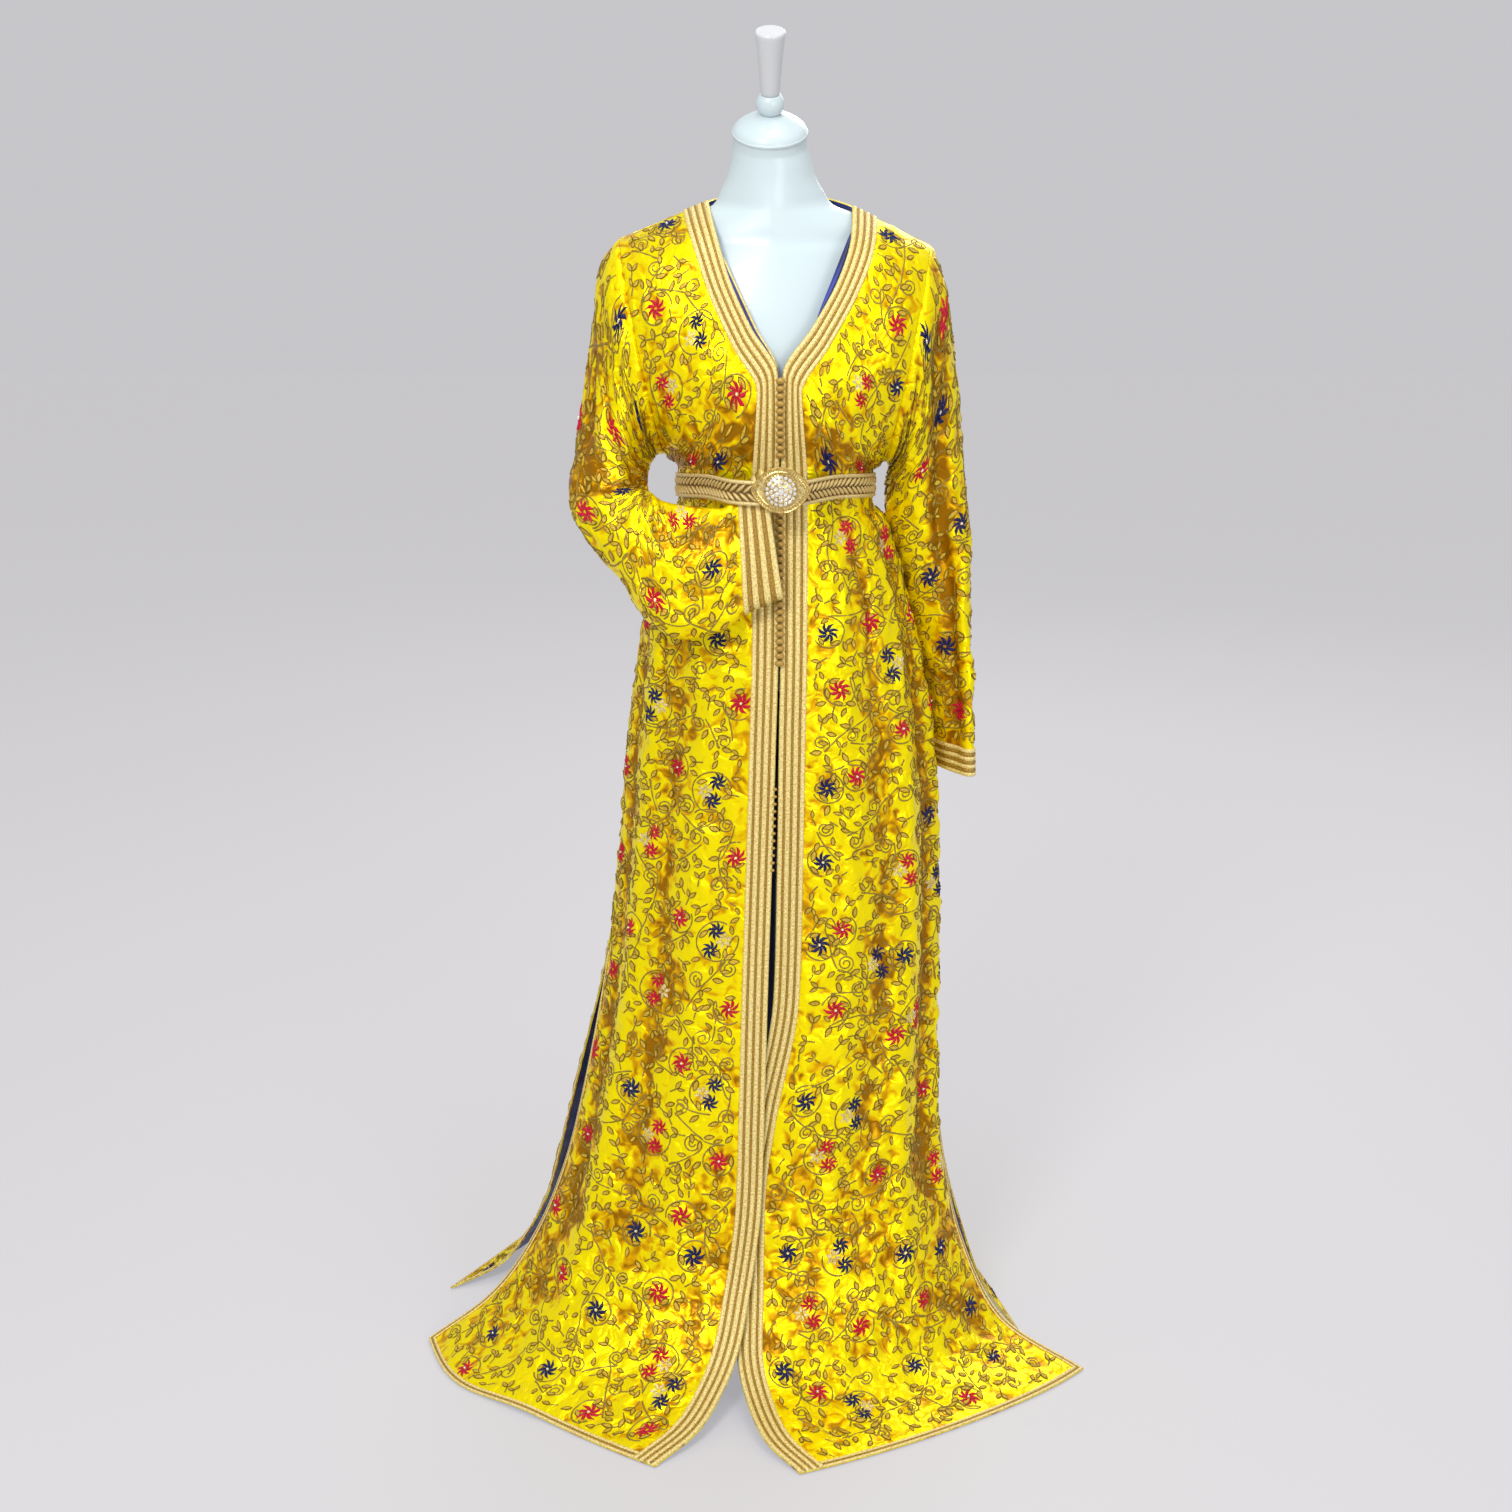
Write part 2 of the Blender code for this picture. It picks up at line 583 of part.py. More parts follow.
def armhole_reach(side, front, back):
    """How far the panels' outer faces reach past the armhole, for each point of the sleeve's first ring."""
    outward = 1 if side == "left" else -1
    reach = []
    half = SLEEVE_SEGMENTS // 2
    for k in range(SLEEVE_SEGMENTS):
        row = k if k <= half else SLEEVE_SEGMENTS - k
        front_reach = CLOTH * max(0.0, outward * front[1][row, -1, 0])
        back_reach = CLOTH * max(0.0, outward * back[1][row, -1 if side == "left" else 0, 0])
        if k in (0, half):
            reach.append(max(front_reach, back_reach))
        else:
            reach.append(front_reach if k < half else back_reach)
    return np.array(reach)


def new_material(name, colour, roughness, metallic=0.0):
    material = bpy.data.materials.new(name)
    material.use_nodes = True
    shader = material.node_tree.nodes["Principled BSDF"]
    shader.inputs["Base Color"].default_value = (*colour, 1.0)
    shader.inputs["Roughness"].default_value = roughness
    shader.inputs["Metallic"].default_value = metallic
    return material


def add_object(name, points, faces, material, smooth=True):
    """One closed solid from points and faces, its faces turned outwards."""
    mesh = bpy.data.meshes.new(name)
    mesh.from_pydata([tuple(map(float, p)) for p in points], [], faces)
    work = bmesh.new()
    work.from_mesh(mesh)
    bmesh.ops.triangulate(work, faces=[f for f in work.faces if len(f.verts) > 3])
    bmesh.ops.recalc_face_normals(work, faces=work.faces)
    work.to_mesh(mesh)
    work.free()
    if smooth:
        mesh.shade_smooth()
        mesh.set_sharp_from_angle(angle=math.radians(40))
    mesh.materials.append(material)
    result = bpy.data.objects.new(name, mesh)
    bpy.context.scene.collection.objects.link(result)
    return result


def wall(name, inner, outer, material, closed=False, cells=None):
    """Cloth wall between two grids; only the named cells where cells is given."""
    rows, columns = inner.shape[:2]
    if cells is None:
        cells = [(r, c) for r in range(rows - 1) for c in range(columns if closed else columns - 1)]
    numbers = {}
    points = []

    def number(layer, r, c):
        key = (layer, r, c % columns)
        if key not in numbers:
            numbers[key] = len(points)
            points.append((inner, outer)[layer][r, c % columns])
        return numbers[key]

    faces = []
    edges = {}
    for r, c in cells:
        corners = [(r, c), (r + 1, c), (r + 1, c + 1), (r, c + 1)]
        for layer in (0, 1):
            a, b, d, e = [number(layer, *corner) for corner in corners]
            pair = [(a, b, d), (a, d, e)]
            faces += pair if layer else [face[::-1] for face in pair]
        for start, end in zip(corners, corners[1:] + corners[:1]):
            start = (start[0], start[1] % columns)
            end = (end[0], end[1] % columns)
            if (end, start) in edges:
                del edges[(end, start)]
            else:
                edges[(start, end)] = True
    for start, end in edges:
        faces.append((number(1, *end), number(1, *start), number(0, *start)))
        faces.append((number(1, *end), number(0, *start), number(0, *end)))
    return add_object(name, points, faces, material)


def raised(grid, normals, distance):
    return grid + normals * distance


def corded_band(name, grid, normals, cords, material, closed=False):
    """Band on a strip of a panel's points: plain inside, its laid cords raised outside."""
    inner = raised(grid, normals, CLOTH + SEAM_GAP)
    rows, inner_columns = inner.shape[:2]
    outer_columns = cords * 2 + 1
    points = [p for line in inner for p in line]
    first_outer = len(points)
    for r in range(rows):
        for k, spot in enumerate(np.linspace(0, inner_columns - 1, outer_columns)):
            low = min(int(spot), inner_columns - 2)
            t = spot - low
            place = inner[r, low] * (1 - t) + inner[r, low + 1] * t
            normal = normals[r, low] * (1 - t) + normals[r, low + 1] * t
            rise = BAND_BASE + (BAND_CORD_RISE if k % 2 else 0.0)
            points.append(place + normal / np.linalg.norm(normal) * rise)

    def inside(r, c):
        return r % rows * inner_columns + c

    def outside(r, c):
        return first_outer + r % rows * outer_columns + c

    faces = []
    for r in range(rows if closed else rows - 1):
        for c in range(inner_columns - 1):
            faces.append((inside(r, c), inside(r + 1, c + 1), inside(r + 1, c)))
            faces.append((inside(r, c), inside(r, c + 1), inside(r + 1, c + 1)))
        for c in range(outer_columns - 1):
            faces.append((outside(r, c), outside(r + 1, c), outside(r + 1, c + 1)))
            faces.append((outside(r, c), outside(r + 1, c + 1), outside(r, c + 1)))
        for near, far in ((0, 0), (inner_columns - 1, outer_columns - 1)):
            ends = (inside(r, near), inside(r + 1, near), outside(r + 1, far), outside(r, far))
            faces.append(ends if near else ends[::-1])
    for r in () if closed else (0, rows - 1):
        ends = [inside(r, c) for c in range(inner_columns)]
        ends += [outside(r, c) for c in reversed(range(outer_columns))]
        faces.append(ends if r else ends[::-1])
    return add_object(name, points, faces, material)


def edge_band(name, grid, normals, cells, material):
    """Narrow band on a panel's free edges, raised from the panel's own points."""
    inner = raised(grid, normals, CLOTH + SEAM_GAP)
    outer = raised(grid, normals, CLOTH + SEAM_GAP + EDGE_BAND_THICK)
    return wall(name, inner, outer, material, cells=cells)


def drawn_in(grid, column_from, column_to, distance):
    """The grid with one column moved a little towards another, to clear the band beside it."""
    moved = grid.copy()
    step = grid[:, column_to] - grid[:, column_from]
    moved[:, column_from] += step / np.linalg.norm(step, axis=1, keepdims=True) * distance
    return moved


def add_fronts(satin, gold):
    fronts = {}
    slit = ROWS.index(SLIT_ROW)
    for side in ("right", "left"):
        grid, normals = front_grid(side)
        fronts[side] = (grid, normals)
        wall("front_" + side, grid, raised(grid, normals, CLOTH), satin)
        corded_band("front_trim_" + side, grid[:, :3], normals[:, :3], BAND_CORDS, gold)
        rows, columns = grid.shape[:2]
        cells = [(r, columns - 2) for r in range(slit, rows - 2)]
        cells += [(rows - 2, c) for c in range(2, columns - 1)]
        clear_grid = drawn_in(grid, 2, 3, HEM_BAND_CLEARANCE)
        edge_band("edge_trim_" + side, clear_grid, normals, cells, gold)
    return fronts


def add_back(satin, gold):
    grid, normals = back_grid()
    wall("back", grid, raised(grid, normals, CLOTH), satin)
    rows, columns = grid.shape[:2]
    slit = ROWS.index(SLIT_ROW)
    cells = [(r, c) for r in range(slit, rows - 2) for c in (0, columns - 2)]
    cells += [(rows - 2, c) for c in range(columns - 1)]
    edge_band("edge_trim_back", grid, normals, cells, gold)
    neck_columns = [c for c in range(columns) if abs(c - columns // 2) <= 5]
    neck_cells = [(r, c) for r in (0, 1) for c in neck_columns[:-1]]
    inner = raised(grid, normals, CLOTH + SEAM_GAP)
    outer = raised(grid, normals, CLOTH + SEAM_GAP + NECK_BAND_THICK)
    wall("neck_trim_back", inner, outer, gold, cells=neck_cells)
    return grid, normals


def add_sleeves(fronts, back, satin, gold):
    for side in ("right", "left"):
        grid, normals = sleeve_grid(side, armhole_reach(side, fronts[side], back))
        wall("sleeve_" + side, grid, raised(grid, normals, CLOTH), satin, closed=True)
        strip = grid[-3:].transpose(1, 0, 2)
        strip_normals = normals[-3:].transpose(1, 0, 2)
        corded_band("cuff_trim_" + side, strip, strip_normals, CUFF_CORDS, gold, closed=True)


def ball_points(radius):
    """Corners and faces of a twelve-cornered ball."""
    golden = (1 + math.sqrt(5)) / 2
    corners = []
    for a in (-1, 1):
        for b in (-golden, golden):
            corners += [(0, a, b), (a, b, 0), (b, 0, a)]
    corners = np.array(corners) * radius / math.sqrt(1 + golden ** 2)
    return corners


def add_knots(fronts, gold):
    """Row of knotted cord buttons along the front opening, left out where the belt's plate lies."""
    right, right_normals = fronts["right"]
    left, left_normals = fronts["left"]
    band_face = CLOTH + SEAM_GAP + BAND_BASE
    line = (raised(right, right_normals, band_face)[:, 0] + raised(left, left_normals, band_face)[:, 0]) / 2
    heights = line[:, 2]
    count = 0
    z = KNOT_TOP
    while z > KNOT_BOTTOM:
        if not KNOTS_LEFT_OUT[0] < z < KNOTS_LEFT_OUT[1]:
            count += 1
            seat = [np.interp(-z, -heights, line[:, axis]) for axis in (0, 1)]
            middle = np.array([seat[0] + KNOT_SIDESTEP, seat[1] - SEAM_GAP - KNOT_RADIUS * KNOT_SEAT, z])
            add_ball("knot_%02d" % count, middle, KNOT_RADIUS, gold)
        z -= KNOT_PITCH


def add_ball(name, middle, radius, material):
    corners = ball_points(radius)
    work = bmesh.new()
    for corner in corners:
        work.verts.new(corner)
    bmesh.ops.convex_hull(work, input=work.verts)
    work.verts.index_update()
    points = [np.array(v.co) + middle for v in work.verts]
    faces = [[v.index for v in face.verts] for face in work.faces]
    work.free()
    return add_object(name, points, faces, material)


def belt_path(fronts, back):
    """Inner face of the strap, from the plate round the waist by the wearer's left and back over the cuff."""
    row = ROWS.index(WAIST_ROW)
    left, left_out = [grid[row] for grid in fronts["left"]]
    right, right_out = [grid[row] for grid in fronts["right"]]
    behind, behind_out = [grid[row] for grid in back]
    points = [*left[3:-1], (left[-1] + behind[-1]) / 2, *behind[-2:0:-1]]
    points += [(right[-1] + behind[0]) / 2, *right[-2:2:-1]]
    outward = [*left_out[3:-1], left_out[-1] + behind_out[-1], *behind_out[-2:0:-1]]
    outward += [right_out[-1] + behind_out[0], *right_out[-2:2:-1]]
    path = [(PLATE_CENTRE[0] + BELT_END, BELT_PLATE_Y), (BELT_OFF_PLATE, BELT_PLATE_Y)]
    for point, normal in zip(points, outward):
        x, y = point[:2] + normal[:2] / np.linalg.norm(normal[:2]) * (CLOTH + BELT_GAP)
        if y > 0 or not BELT_ON_CLOTH[0] < x < BELT_ON_CLOTH[1]:
            path.append((x, y))
    path += [(BELT_OVER_CUFF, BELT_PLATE_Y), (PLATE_CENTRE[0] - BELT_END, BELT_PLATE_Y)]
    heights = np.interp([-y for x, y in path], (-BELT_BACK_Y, -BELT_FRONT_Y), (BELT_BACK_Z, BELT_FRONT_Z))
    return np.array([(x, y, z) for (x, y), z in zip(path, heights)])


def add_belt(fronts, back, braid, metal):
    path = belt_path(fronts, back)
    along = np.gradient(path, axis=0)
    outward = np.cross(along, [0, 0, 1.0])
    outward /= np.linalg.norm(outward, axis=1, keepdims=True)
    points = []
    for place, out in zip(path, outward):
        for height, depth in BELT_PROFILE:
            points.append(place + np.array([0, 0, height * BELT_HEIGHT]) + out * depth * BELT_THICK)
    faces = []
    size = len(BELT_PROFILE)
    for r in range(len(path) - 1):
        for c in range(size):
            d = (c + 1) % size
            faces.append((r * size + c, r * size + d, (r + 1) * size + d, (r + 1) * size + c))
    faces.append(list(range(size)))
    faces.append([(len(path) - 1) * size + c for c in reversed(range(size))])
    add_object("belt", points, faces, braid)
    add_plate(metal)


def plate_outline(angle):
    """Eye shape with drawn-out ends."""
    x = PLATE_HALF_LENGTH * math.cos(angle)
    z = PLATE_HALF_HEIGHT * math.copysign(abs(math.sin(angle)) ** 1.5, math.sin(angle))
    return x, z


def add_plate(metal):
    """Oval plate with a domed middle, its flat back towards the strap."""
    segments = PLATE_SEGMENTS
    points = []
    for share, depth in PLATE_RIM:
        for k in range(segments):
            x, z = plate_outline(2 * math.pi * k / segments)
            points.append((x * share, -depth * PLATE_THICK, z * share))
    for share, depth in PLATE_DOME:
        for k in range(segments):
            angle = 2 * math.pi * k / segments
            reach = PLATE_DOME_RADIUS * share
            limit_x, limit_z = plate_outline(angle)
            reach = min(reach, PLATE_DOME_LIMIT * math.hypot(limit_x, limit_z))
            rise = PLATE_THICK * min(depth, 1.0) + PLATE_DOME_RISE * max(0.0, depth - 1.0)
            points.append((reach * math.cos(angle), -rise, reach * math.sin(angle)))
    points = [np.array(p) + np.array(PLATE_CENTRE) for p in points]
    ring_count = len(points) // segments
    faces = [list(range(segments))]
    for r in range(ring_count - 1):
        for k in range(segments):
            n = (k + 1) % segments
            faces.append((r * segments + k, r * segments + n, (r + 1) * segments + n, (r + 1) * segments + k))
    faces.append([(ring_count - 1) * segments + k for k in range(segments)])
    add_object("belt_plate", points, faces, metal)


def ring_solid(name, rings, material):
    """Closed solid through rings of points, with flat ends."""
    size = len(rings[0])
    points = [p for ring in rings for p in ring]
    faces = [list(range(size))]
    for r in range(len(rings) - 1):
        for k in range(size):
            n = (k + 1) % size
            faces.append((r * size + k, r * size + n, (r + 1) * size + n, (r + 1) * size + k))
    faces.append([(len(rings) - 1) * size + k for k in range(size)])
    return add_object(name, points, faces, material)


def form_ring(z, right, left, front, back, power):
    ring = []
    for k in range(FORM_SEGMENTS):
        angle = 2 * math.pi * k / FORM_SEGMENTS
        c = math.cos(angle)
        s = math.sin(angle)
        x = math.copysign(abs(c) ** (2 / power), c) * (left if c > 0 else right)
        y = math.copysign(abs(s) ** (2 / power), s) * (back if s > 0 else front)
        ring.append(np.array([x, y, z]))
    return ring


def tilted_ring(centre, radius, rise, segments):
    """Round ring about the neck's slanted axis, rise above its top plane."""
    axis = np.array([0.0, -math.sin(CAP_TILT), math.cos(CAP_TILT)])
    side = np.array([1.0, 0.0, 0.0])
    ahead = np.cross(axis, side)
    ring = []
    for k in range(segments):
        angle = 2 * math.pi * k / segments
        outward = side * math.cos(angle) + ahead * math.sin(angle)
        ring.append(np.array(centre) + axis * rise + outward * radius)
    return ring


def add_form(gloss, grey, steel):
    rings = [form_ring(*row) for row in FORM_SECTION]
    rings.append(tilted_ring(NECK_TOP, NECK_TOP_RADIUS, -0.010, FORM_SEGMENTS))
    rings.append(tilted_ring(NECK_TOP, NECK_TOP_RADIUS, 0.0, FORM_SEGMENTS))
    ring_solid("form_torso", rings, gloss)
    for name, profile, material in (
        ("neck_cap", CAP_PROFILE, gloss),
        ("finial_ball", BALL_PROFILE, gloss),
        ("finial", FINIAL_PROFILE, grey),
    ):
        rings = [tilted_ring(NECK_TOP, radius, rise, TURNED_SEGMENTS) for rise, radius in profile]
        ring_solid(name, rings, material)
    form_bottom = FORM_SECTION[0][0]
    pole = [(POLE_RADIUS, FOOT_THICK + SEAM_GAP), (POLE_RADIUS, form_bottom - SEAM_GAP)]
    foot = [(FOOT_RADIUS, 0.0), (FOOT_RADIUS, FOOT_THICK * 0.6), (FOOT_RADIUS * 0.97, FOOT_THICK)]
    for name, profile, segments in (("stand_pole", pole, POLE_SEGMENTS), ("stand_base", foot, FOOT_SEGMENTS)):
        steps = [2 * math.pi * k / segments for k in range(segments)]
        solid = [[np.array([r * math.cos(a), r * math.sin(a), z]) for a in steps] for r, z in profile]
        ring_solid(name, solid, steel)


def main():
    for old in list(bpy.data.objects):
        bpy.data.objects.remove(old)
    satin = new_material("yellow_satin", (0.85, 0.60, 0.02), 0.40)
    gold = new_material("gold_cord", (0.60, 0.42, 0.14), 0.45, 0.3)
    braid = new_material("gold_braid", (0.52, 0.38, 0.18), 0.45, 0.3)
    stones = new_material("gilt_plate", (0.65, 0.52, 0.32), 0.25, 0.8)
    gloss = new_material("white_gloss", (0.80, 0.86, 0.86), 0.18)
    grey = new_material("grey_gloss", (0.62, 0.63, 0.64), 0.20)
    steel = new_material("stand_steel", (0.55, 0.56, 0.58), 0.30, 0.9)
    fronts = add_fronts(satin, gold)
    back = add_back(satin, gold)
    add_sleeves(fronts, back, satin, gold)
    add_knots(fronts, gold)
    add_belt(fronts, back, braid, stones)
    add_form(gloss, grey, steel)


main()
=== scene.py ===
# The looks of the moroccan kaftan on its dress form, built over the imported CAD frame.
# Metres, +Z up. The form faces -Y, so the wearer's right is -X.

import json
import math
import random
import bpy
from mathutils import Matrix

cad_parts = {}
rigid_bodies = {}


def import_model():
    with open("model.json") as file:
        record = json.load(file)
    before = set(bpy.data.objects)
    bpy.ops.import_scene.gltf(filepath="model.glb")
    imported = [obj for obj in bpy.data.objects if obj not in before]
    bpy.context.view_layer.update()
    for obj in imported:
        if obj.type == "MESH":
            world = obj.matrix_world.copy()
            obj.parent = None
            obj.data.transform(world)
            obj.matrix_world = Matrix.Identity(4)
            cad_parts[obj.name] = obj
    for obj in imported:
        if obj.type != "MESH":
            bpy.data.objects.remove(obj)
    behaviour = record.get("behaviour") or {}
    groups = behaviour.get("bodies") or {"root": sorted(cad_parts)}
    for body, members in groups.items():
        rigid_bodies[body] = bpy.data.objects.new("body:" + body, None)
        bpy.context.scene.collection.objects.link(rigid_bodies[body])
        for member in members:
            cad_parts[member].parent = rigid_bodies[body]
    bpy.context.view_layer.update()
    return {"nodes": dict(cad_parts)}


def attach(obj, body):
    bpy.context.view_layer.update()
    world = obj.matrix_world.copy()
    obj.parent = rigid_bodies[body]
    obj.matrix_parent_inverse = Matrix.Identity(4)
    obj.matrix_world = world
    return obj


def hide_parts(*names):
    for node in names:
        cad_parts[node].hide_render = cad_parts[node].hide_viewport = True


bl_info = {
    "name": "Moroccan kaftan on a dress form",
    "version": (1, 0, 0),
    "blender": (4, 5, 0),
    "location": "View3D > Sidebar > Kaftan",
    "description": "Builds an embroidered satin kaftan, its corded trims, belt and dress form",
    "category": "Object",
}

import bmesh
import bpy
import numpy as np
from bpy.props import FloatProperty, IntProperty, PointerProperty
from mathutils import Matrix, Vector

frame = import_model()


def in_metres(places, table):
    """A table in metres, or one for each piece, of rows that give lengths in millimetres at some places."""
    if isinstance(table, dict):
        return {piece: in_metres(places, rows) for piece, rows in table.items()}
    rows = []
    for row in table:
        rows.append(tuple(round(value / 1000, 6) if k in places else value for k, value in enumerate(row)))
    return tuple(rows)


# Sizes shared with the solids
CLOTH = 0.002
SEAM_GAP = 0.0003
BAND_WIDTH = 0.032
EDGE_BAND_WIDTH = 0.009
CUFF_RINGS = {"right": 1.15, "left": 0.36}
UNDERARM_PINCH = 1.3
KNOT_RADIUS = 0.0043
BELT_HEIGHT = 0.029
BELT_THICK = 0.003
BELT_GAP = 0.0006
BELT_FRONT_Z = 1.1125
BELT_BACK_Z = 1.074
BELT_FRONT_Y = -0.125
BELT_BACK_Y = 0.094
BELT_PLATE_Y = -0.1690
BELT_OVER_CUFF = -0.047
BELT_OFF_PLATE = 0.042
BELT_ON_CLOTH = (-0.072, 0.078)
BELT_END = 0.024
PLATE_CENTRE = (0.0115, -0.1728, 1.1170)
PLATE_HALF_LENGTH = 0.035
PLATE_HALF_HEIGHT = 0.0275
PLATE_THICK = 0.0045
CAP_TILT = math.radians(21)
POLE_RADIUS = 0.0125
FOOT_RADIUS = 0.155
FOOT_THICK = 0.012

# Ends of the shoulder seams and the lowest points of the armholes
NECK_POINT = {"right": (-0.074, 0.0, 1.431), "left": (0.097, 0.0, 1.425)}
SHOULDER_POINT = {"right": (-0.181, 0.0, 1.387), "left": (0.190, 0.0, 1.380)}
UNDERARM_POINT = {"right": (-0.128, 0.0, 1.130), "left": (0.138, 0.0, 1.120)}
ARMHOLE_HALF_DEPTH = {"right": 0.078, "left": 0.080}

# Back neckline: its share of the back's width, its depth behind the shoulder seams and its rise
NECK_PLACE = 0.45
NECK_BACK_DEPTH = 0.064
NECK_BACK_RISE = 0.010

# Rows are numbered down the garment: 0 shoulder seam, 1 underarm, 2 waist, 3 to 6 hips and thighs,
# 7 to 9 the flare, 10 where the cloth meets the floor, 11 the hem. The side slits start at SLIT_ROW.
WAIST_ROW = 2
SLIT_ROW = 5.9
LAST_ROW = 11

EDGE_COLUMNS = ("row", "x", "y", "z")

# Centre edge of each front: down the neckline, the closed front and the parting to the hem's corner
FRONT_CENTRE_EDGE = in_metres((1, 2, 3), {
    "right": (
        (0, -74, 0, 1431), (0.25, -65, -56, 1404), (0.5, -49, -84, 1352), (0.75, -23, -106, 1297),
        (1, 8, -121, 1246), (1.35, 9.5, -124.5, 1195), (1.7, 10.2, -122, 1150), (2.3, 10.2, -122, 1083),
        (2.6, 10.2, -127.5, 1050), (3, 10, -143, 955), (4, 6.5, -158, 800), (5, 2, -170, 645),
        (6, -3, -189, 484), (7, -7, -208, 335), (8, -11, -228, 220), (9, -26.2, -266, 114),
        (9.5, -37, -306, 70), (10, -55, -350, 38), (10.5, -86, -410, 14), (11, -137, -466, 0),
    ),
    "left": (
        (0, 97, 0, 1425), (0.25, 94, -58, 1394), (0.5, 79, -85, 1350), (0.75, 50, -106, 1300),
        (1, 14, -121, 1246), (1.35, 12.4, -124.5, 1195), (1.7, 11.8, -122, 1150), (2.3, 11.8, -122, 1083),
        (2.6, 11.8, -127.5, 1050), (3, 11.8, -143, 955), (4, 10, -158, 800), (5, 8, -168, 645),
        (6, 4, -179, 484), (7, -23, -198, 335), (8, -38, -216, 220), (9, -40, -256.5, 106.5),
        (9.5, -41.5, -296, 62), (10, -32, -351, 29), (10.5, -8, -426, 12), (11, 34, -481, 0),
    ),
})

# Side edge of each front: the side seam, then the free edge of the slit
FRONT_SIDE_EDGE = in_metres((1, 2, 3), {
    "right": (
        (1, -128, 0, 1130), (1.35, -121, 0, 1125.5), (1.7, -110.8, 0, 1118), (2.3, -110.8, 0, 1067.5),
        (2.6, -122.5, 0, 1048), (3, -150, 0, 940), (4, -176, 0, 780), (5, -190, 0, 620),
        (6, -208, -15, 465), (7, -236, -65, 320), (8, -264, -85, 212), (9, -304, -100, 119),
        (10, -360, -125, 46), (11, -440, -165, 0),
    ),
    "left": (
        (1, 138, 0, 1120), (1.35, 131.5, 0, 1118), (1.7, 123.8, 0, 1115), (2.3, 123.8, 0, 1068.5),
        (2.6, 139.5, 0, 1048), (3, 169, 0, 940), (4, 200, 0, 780), (5, 212, 0, 620), (6, 214, -15, 465),
        (7, 214, -45, 330), (8, 224, -65, 220), (9, 248, -100, 115), (10, 302, -155, 25),
        (11, 397, -241, 0),
    ),
})

# Free edges of the back below the slits, on the wearer's right and left
BACK_SLIT_EDGE = in_metres((1, 2, 3), {
    "right": (
        (5.5, -197.5, 0, 545), (6, -210, 12, 465), (7, -242, 18, 330), (8, -272, 22, 205),
        (9, -298, 28, 98), (10, -322, 40, 18), (11, -335, 50, 0),
    ),
    "left": (
        (5.5, 214.5, 0, 545), (6, 215, 12, 465), (7, 216, 18, 330), (8, 226, 10, 205), (9, 248, 12, 98),
        (10, 260, 20, 18), (11, 266, 30, 0),
    ),
})
# The back's hem corners are dragged out sideways and forwards along the floor
CORNER_DRAG = {"right": (-0.092, -0.082, 0.0), "left": (0.060, -0.192, 0.0)}
CORNER_DRAG_FROM_ROW = 8.6
CORNER_DRAG_FROM_PLACE = 0.72
# The fronts' hems swell forwards beside their side corners
HEM_SWELL = {"right": 0.045, "left": 0.004}
HEM_SWELL_FROM_ROW = 9.4

BACK_CENTRE_COLUMNS = ("row", "y", "z")
BACK_CENTRE = in_metres((1, 2), (
    (0, 64, 1438), (0.25, 84, 1405), (0.5, 97, 1345), (0.75, 105, 1272), (1, 108, 1190), (1.35, 101, 1148),
    (1.7, 91.5, 1100), (2.3, 91.5, 1050), (2.6, 98.5, 1022), (3, 120, 945), (4, 138, 790), (5, 147, 635),
    (6, 157, 478), (7, 170, 330), (8, 186, 205), (9, 212, 100), (10, 268, 22), (11, 365, 0),
))

# Degrees a front row turns round the body, how far its middle stands forward, and how straight it lies
SECTION_COLUMNS = ("row", "turn", "crown", "straight")
FRONT_SECTION = (
    (0, 30, 0.003, 0), (0.5, 55, 0.016, 0), (1, 80, 0.013, 0), (1.7, 90, 0.001, 0), (2.3, 90, 0.001, 0),
    (4, 90, 0.004, 0), (8, 85, 0.004, 0), (10, 65, 0.003, 0.35), (11, 30, 0, 0.65),
)

# Hanging folds: place across the panel, half width, height out of the cloth, first and last row
FOLD_GROWS_OVER = 1.6
FOLD_ENDS_OVER = 1.0
FOLDS = {
    "right": (
        (0.3, 0.06, 0.005, 2.35, 9.5), (0.48, 0.055, -0.006, 2.35, 8.5), (0.64, 0.055, 0.006, 2.4, 10.5),
        (0.8, 0.05, -0.007, 2.4, 9), (0.55, 0.14, 0.006, 8.5, 11.6),
    ),
    "left": (
        (0.28, 0.06, 0.004, 2.35, 9), (0.45, 0.055, -0.006, 2.35, 8), (0.6, 0.055, 0.007, 2.35, 10),
        (0.76, 0.05, -0.008, 2.35, 8.5), (0.88, 0.04, 0.006, 2.4, 9),
    ),
    "back": (
        (-0.78, 0.075, -0.007, 2.35, 9.5), (-0.56, 0.075, 0.009, 2.35, 10.5),
        (-0.34, 0.07, -0.008, 2.35, 10), (-0.11, 0.075, 0.01, 2.35, 10.8), (0.11, 0.07, -0.008, 2.35, 9.5),
        (0.34, 0.075, 0.01, 2.35, 10.6), (0.57, 0.075, -0.009, 2.35, 10), (0.78, 0.07, -0.005, 2.35, 9.5),
    ),
}

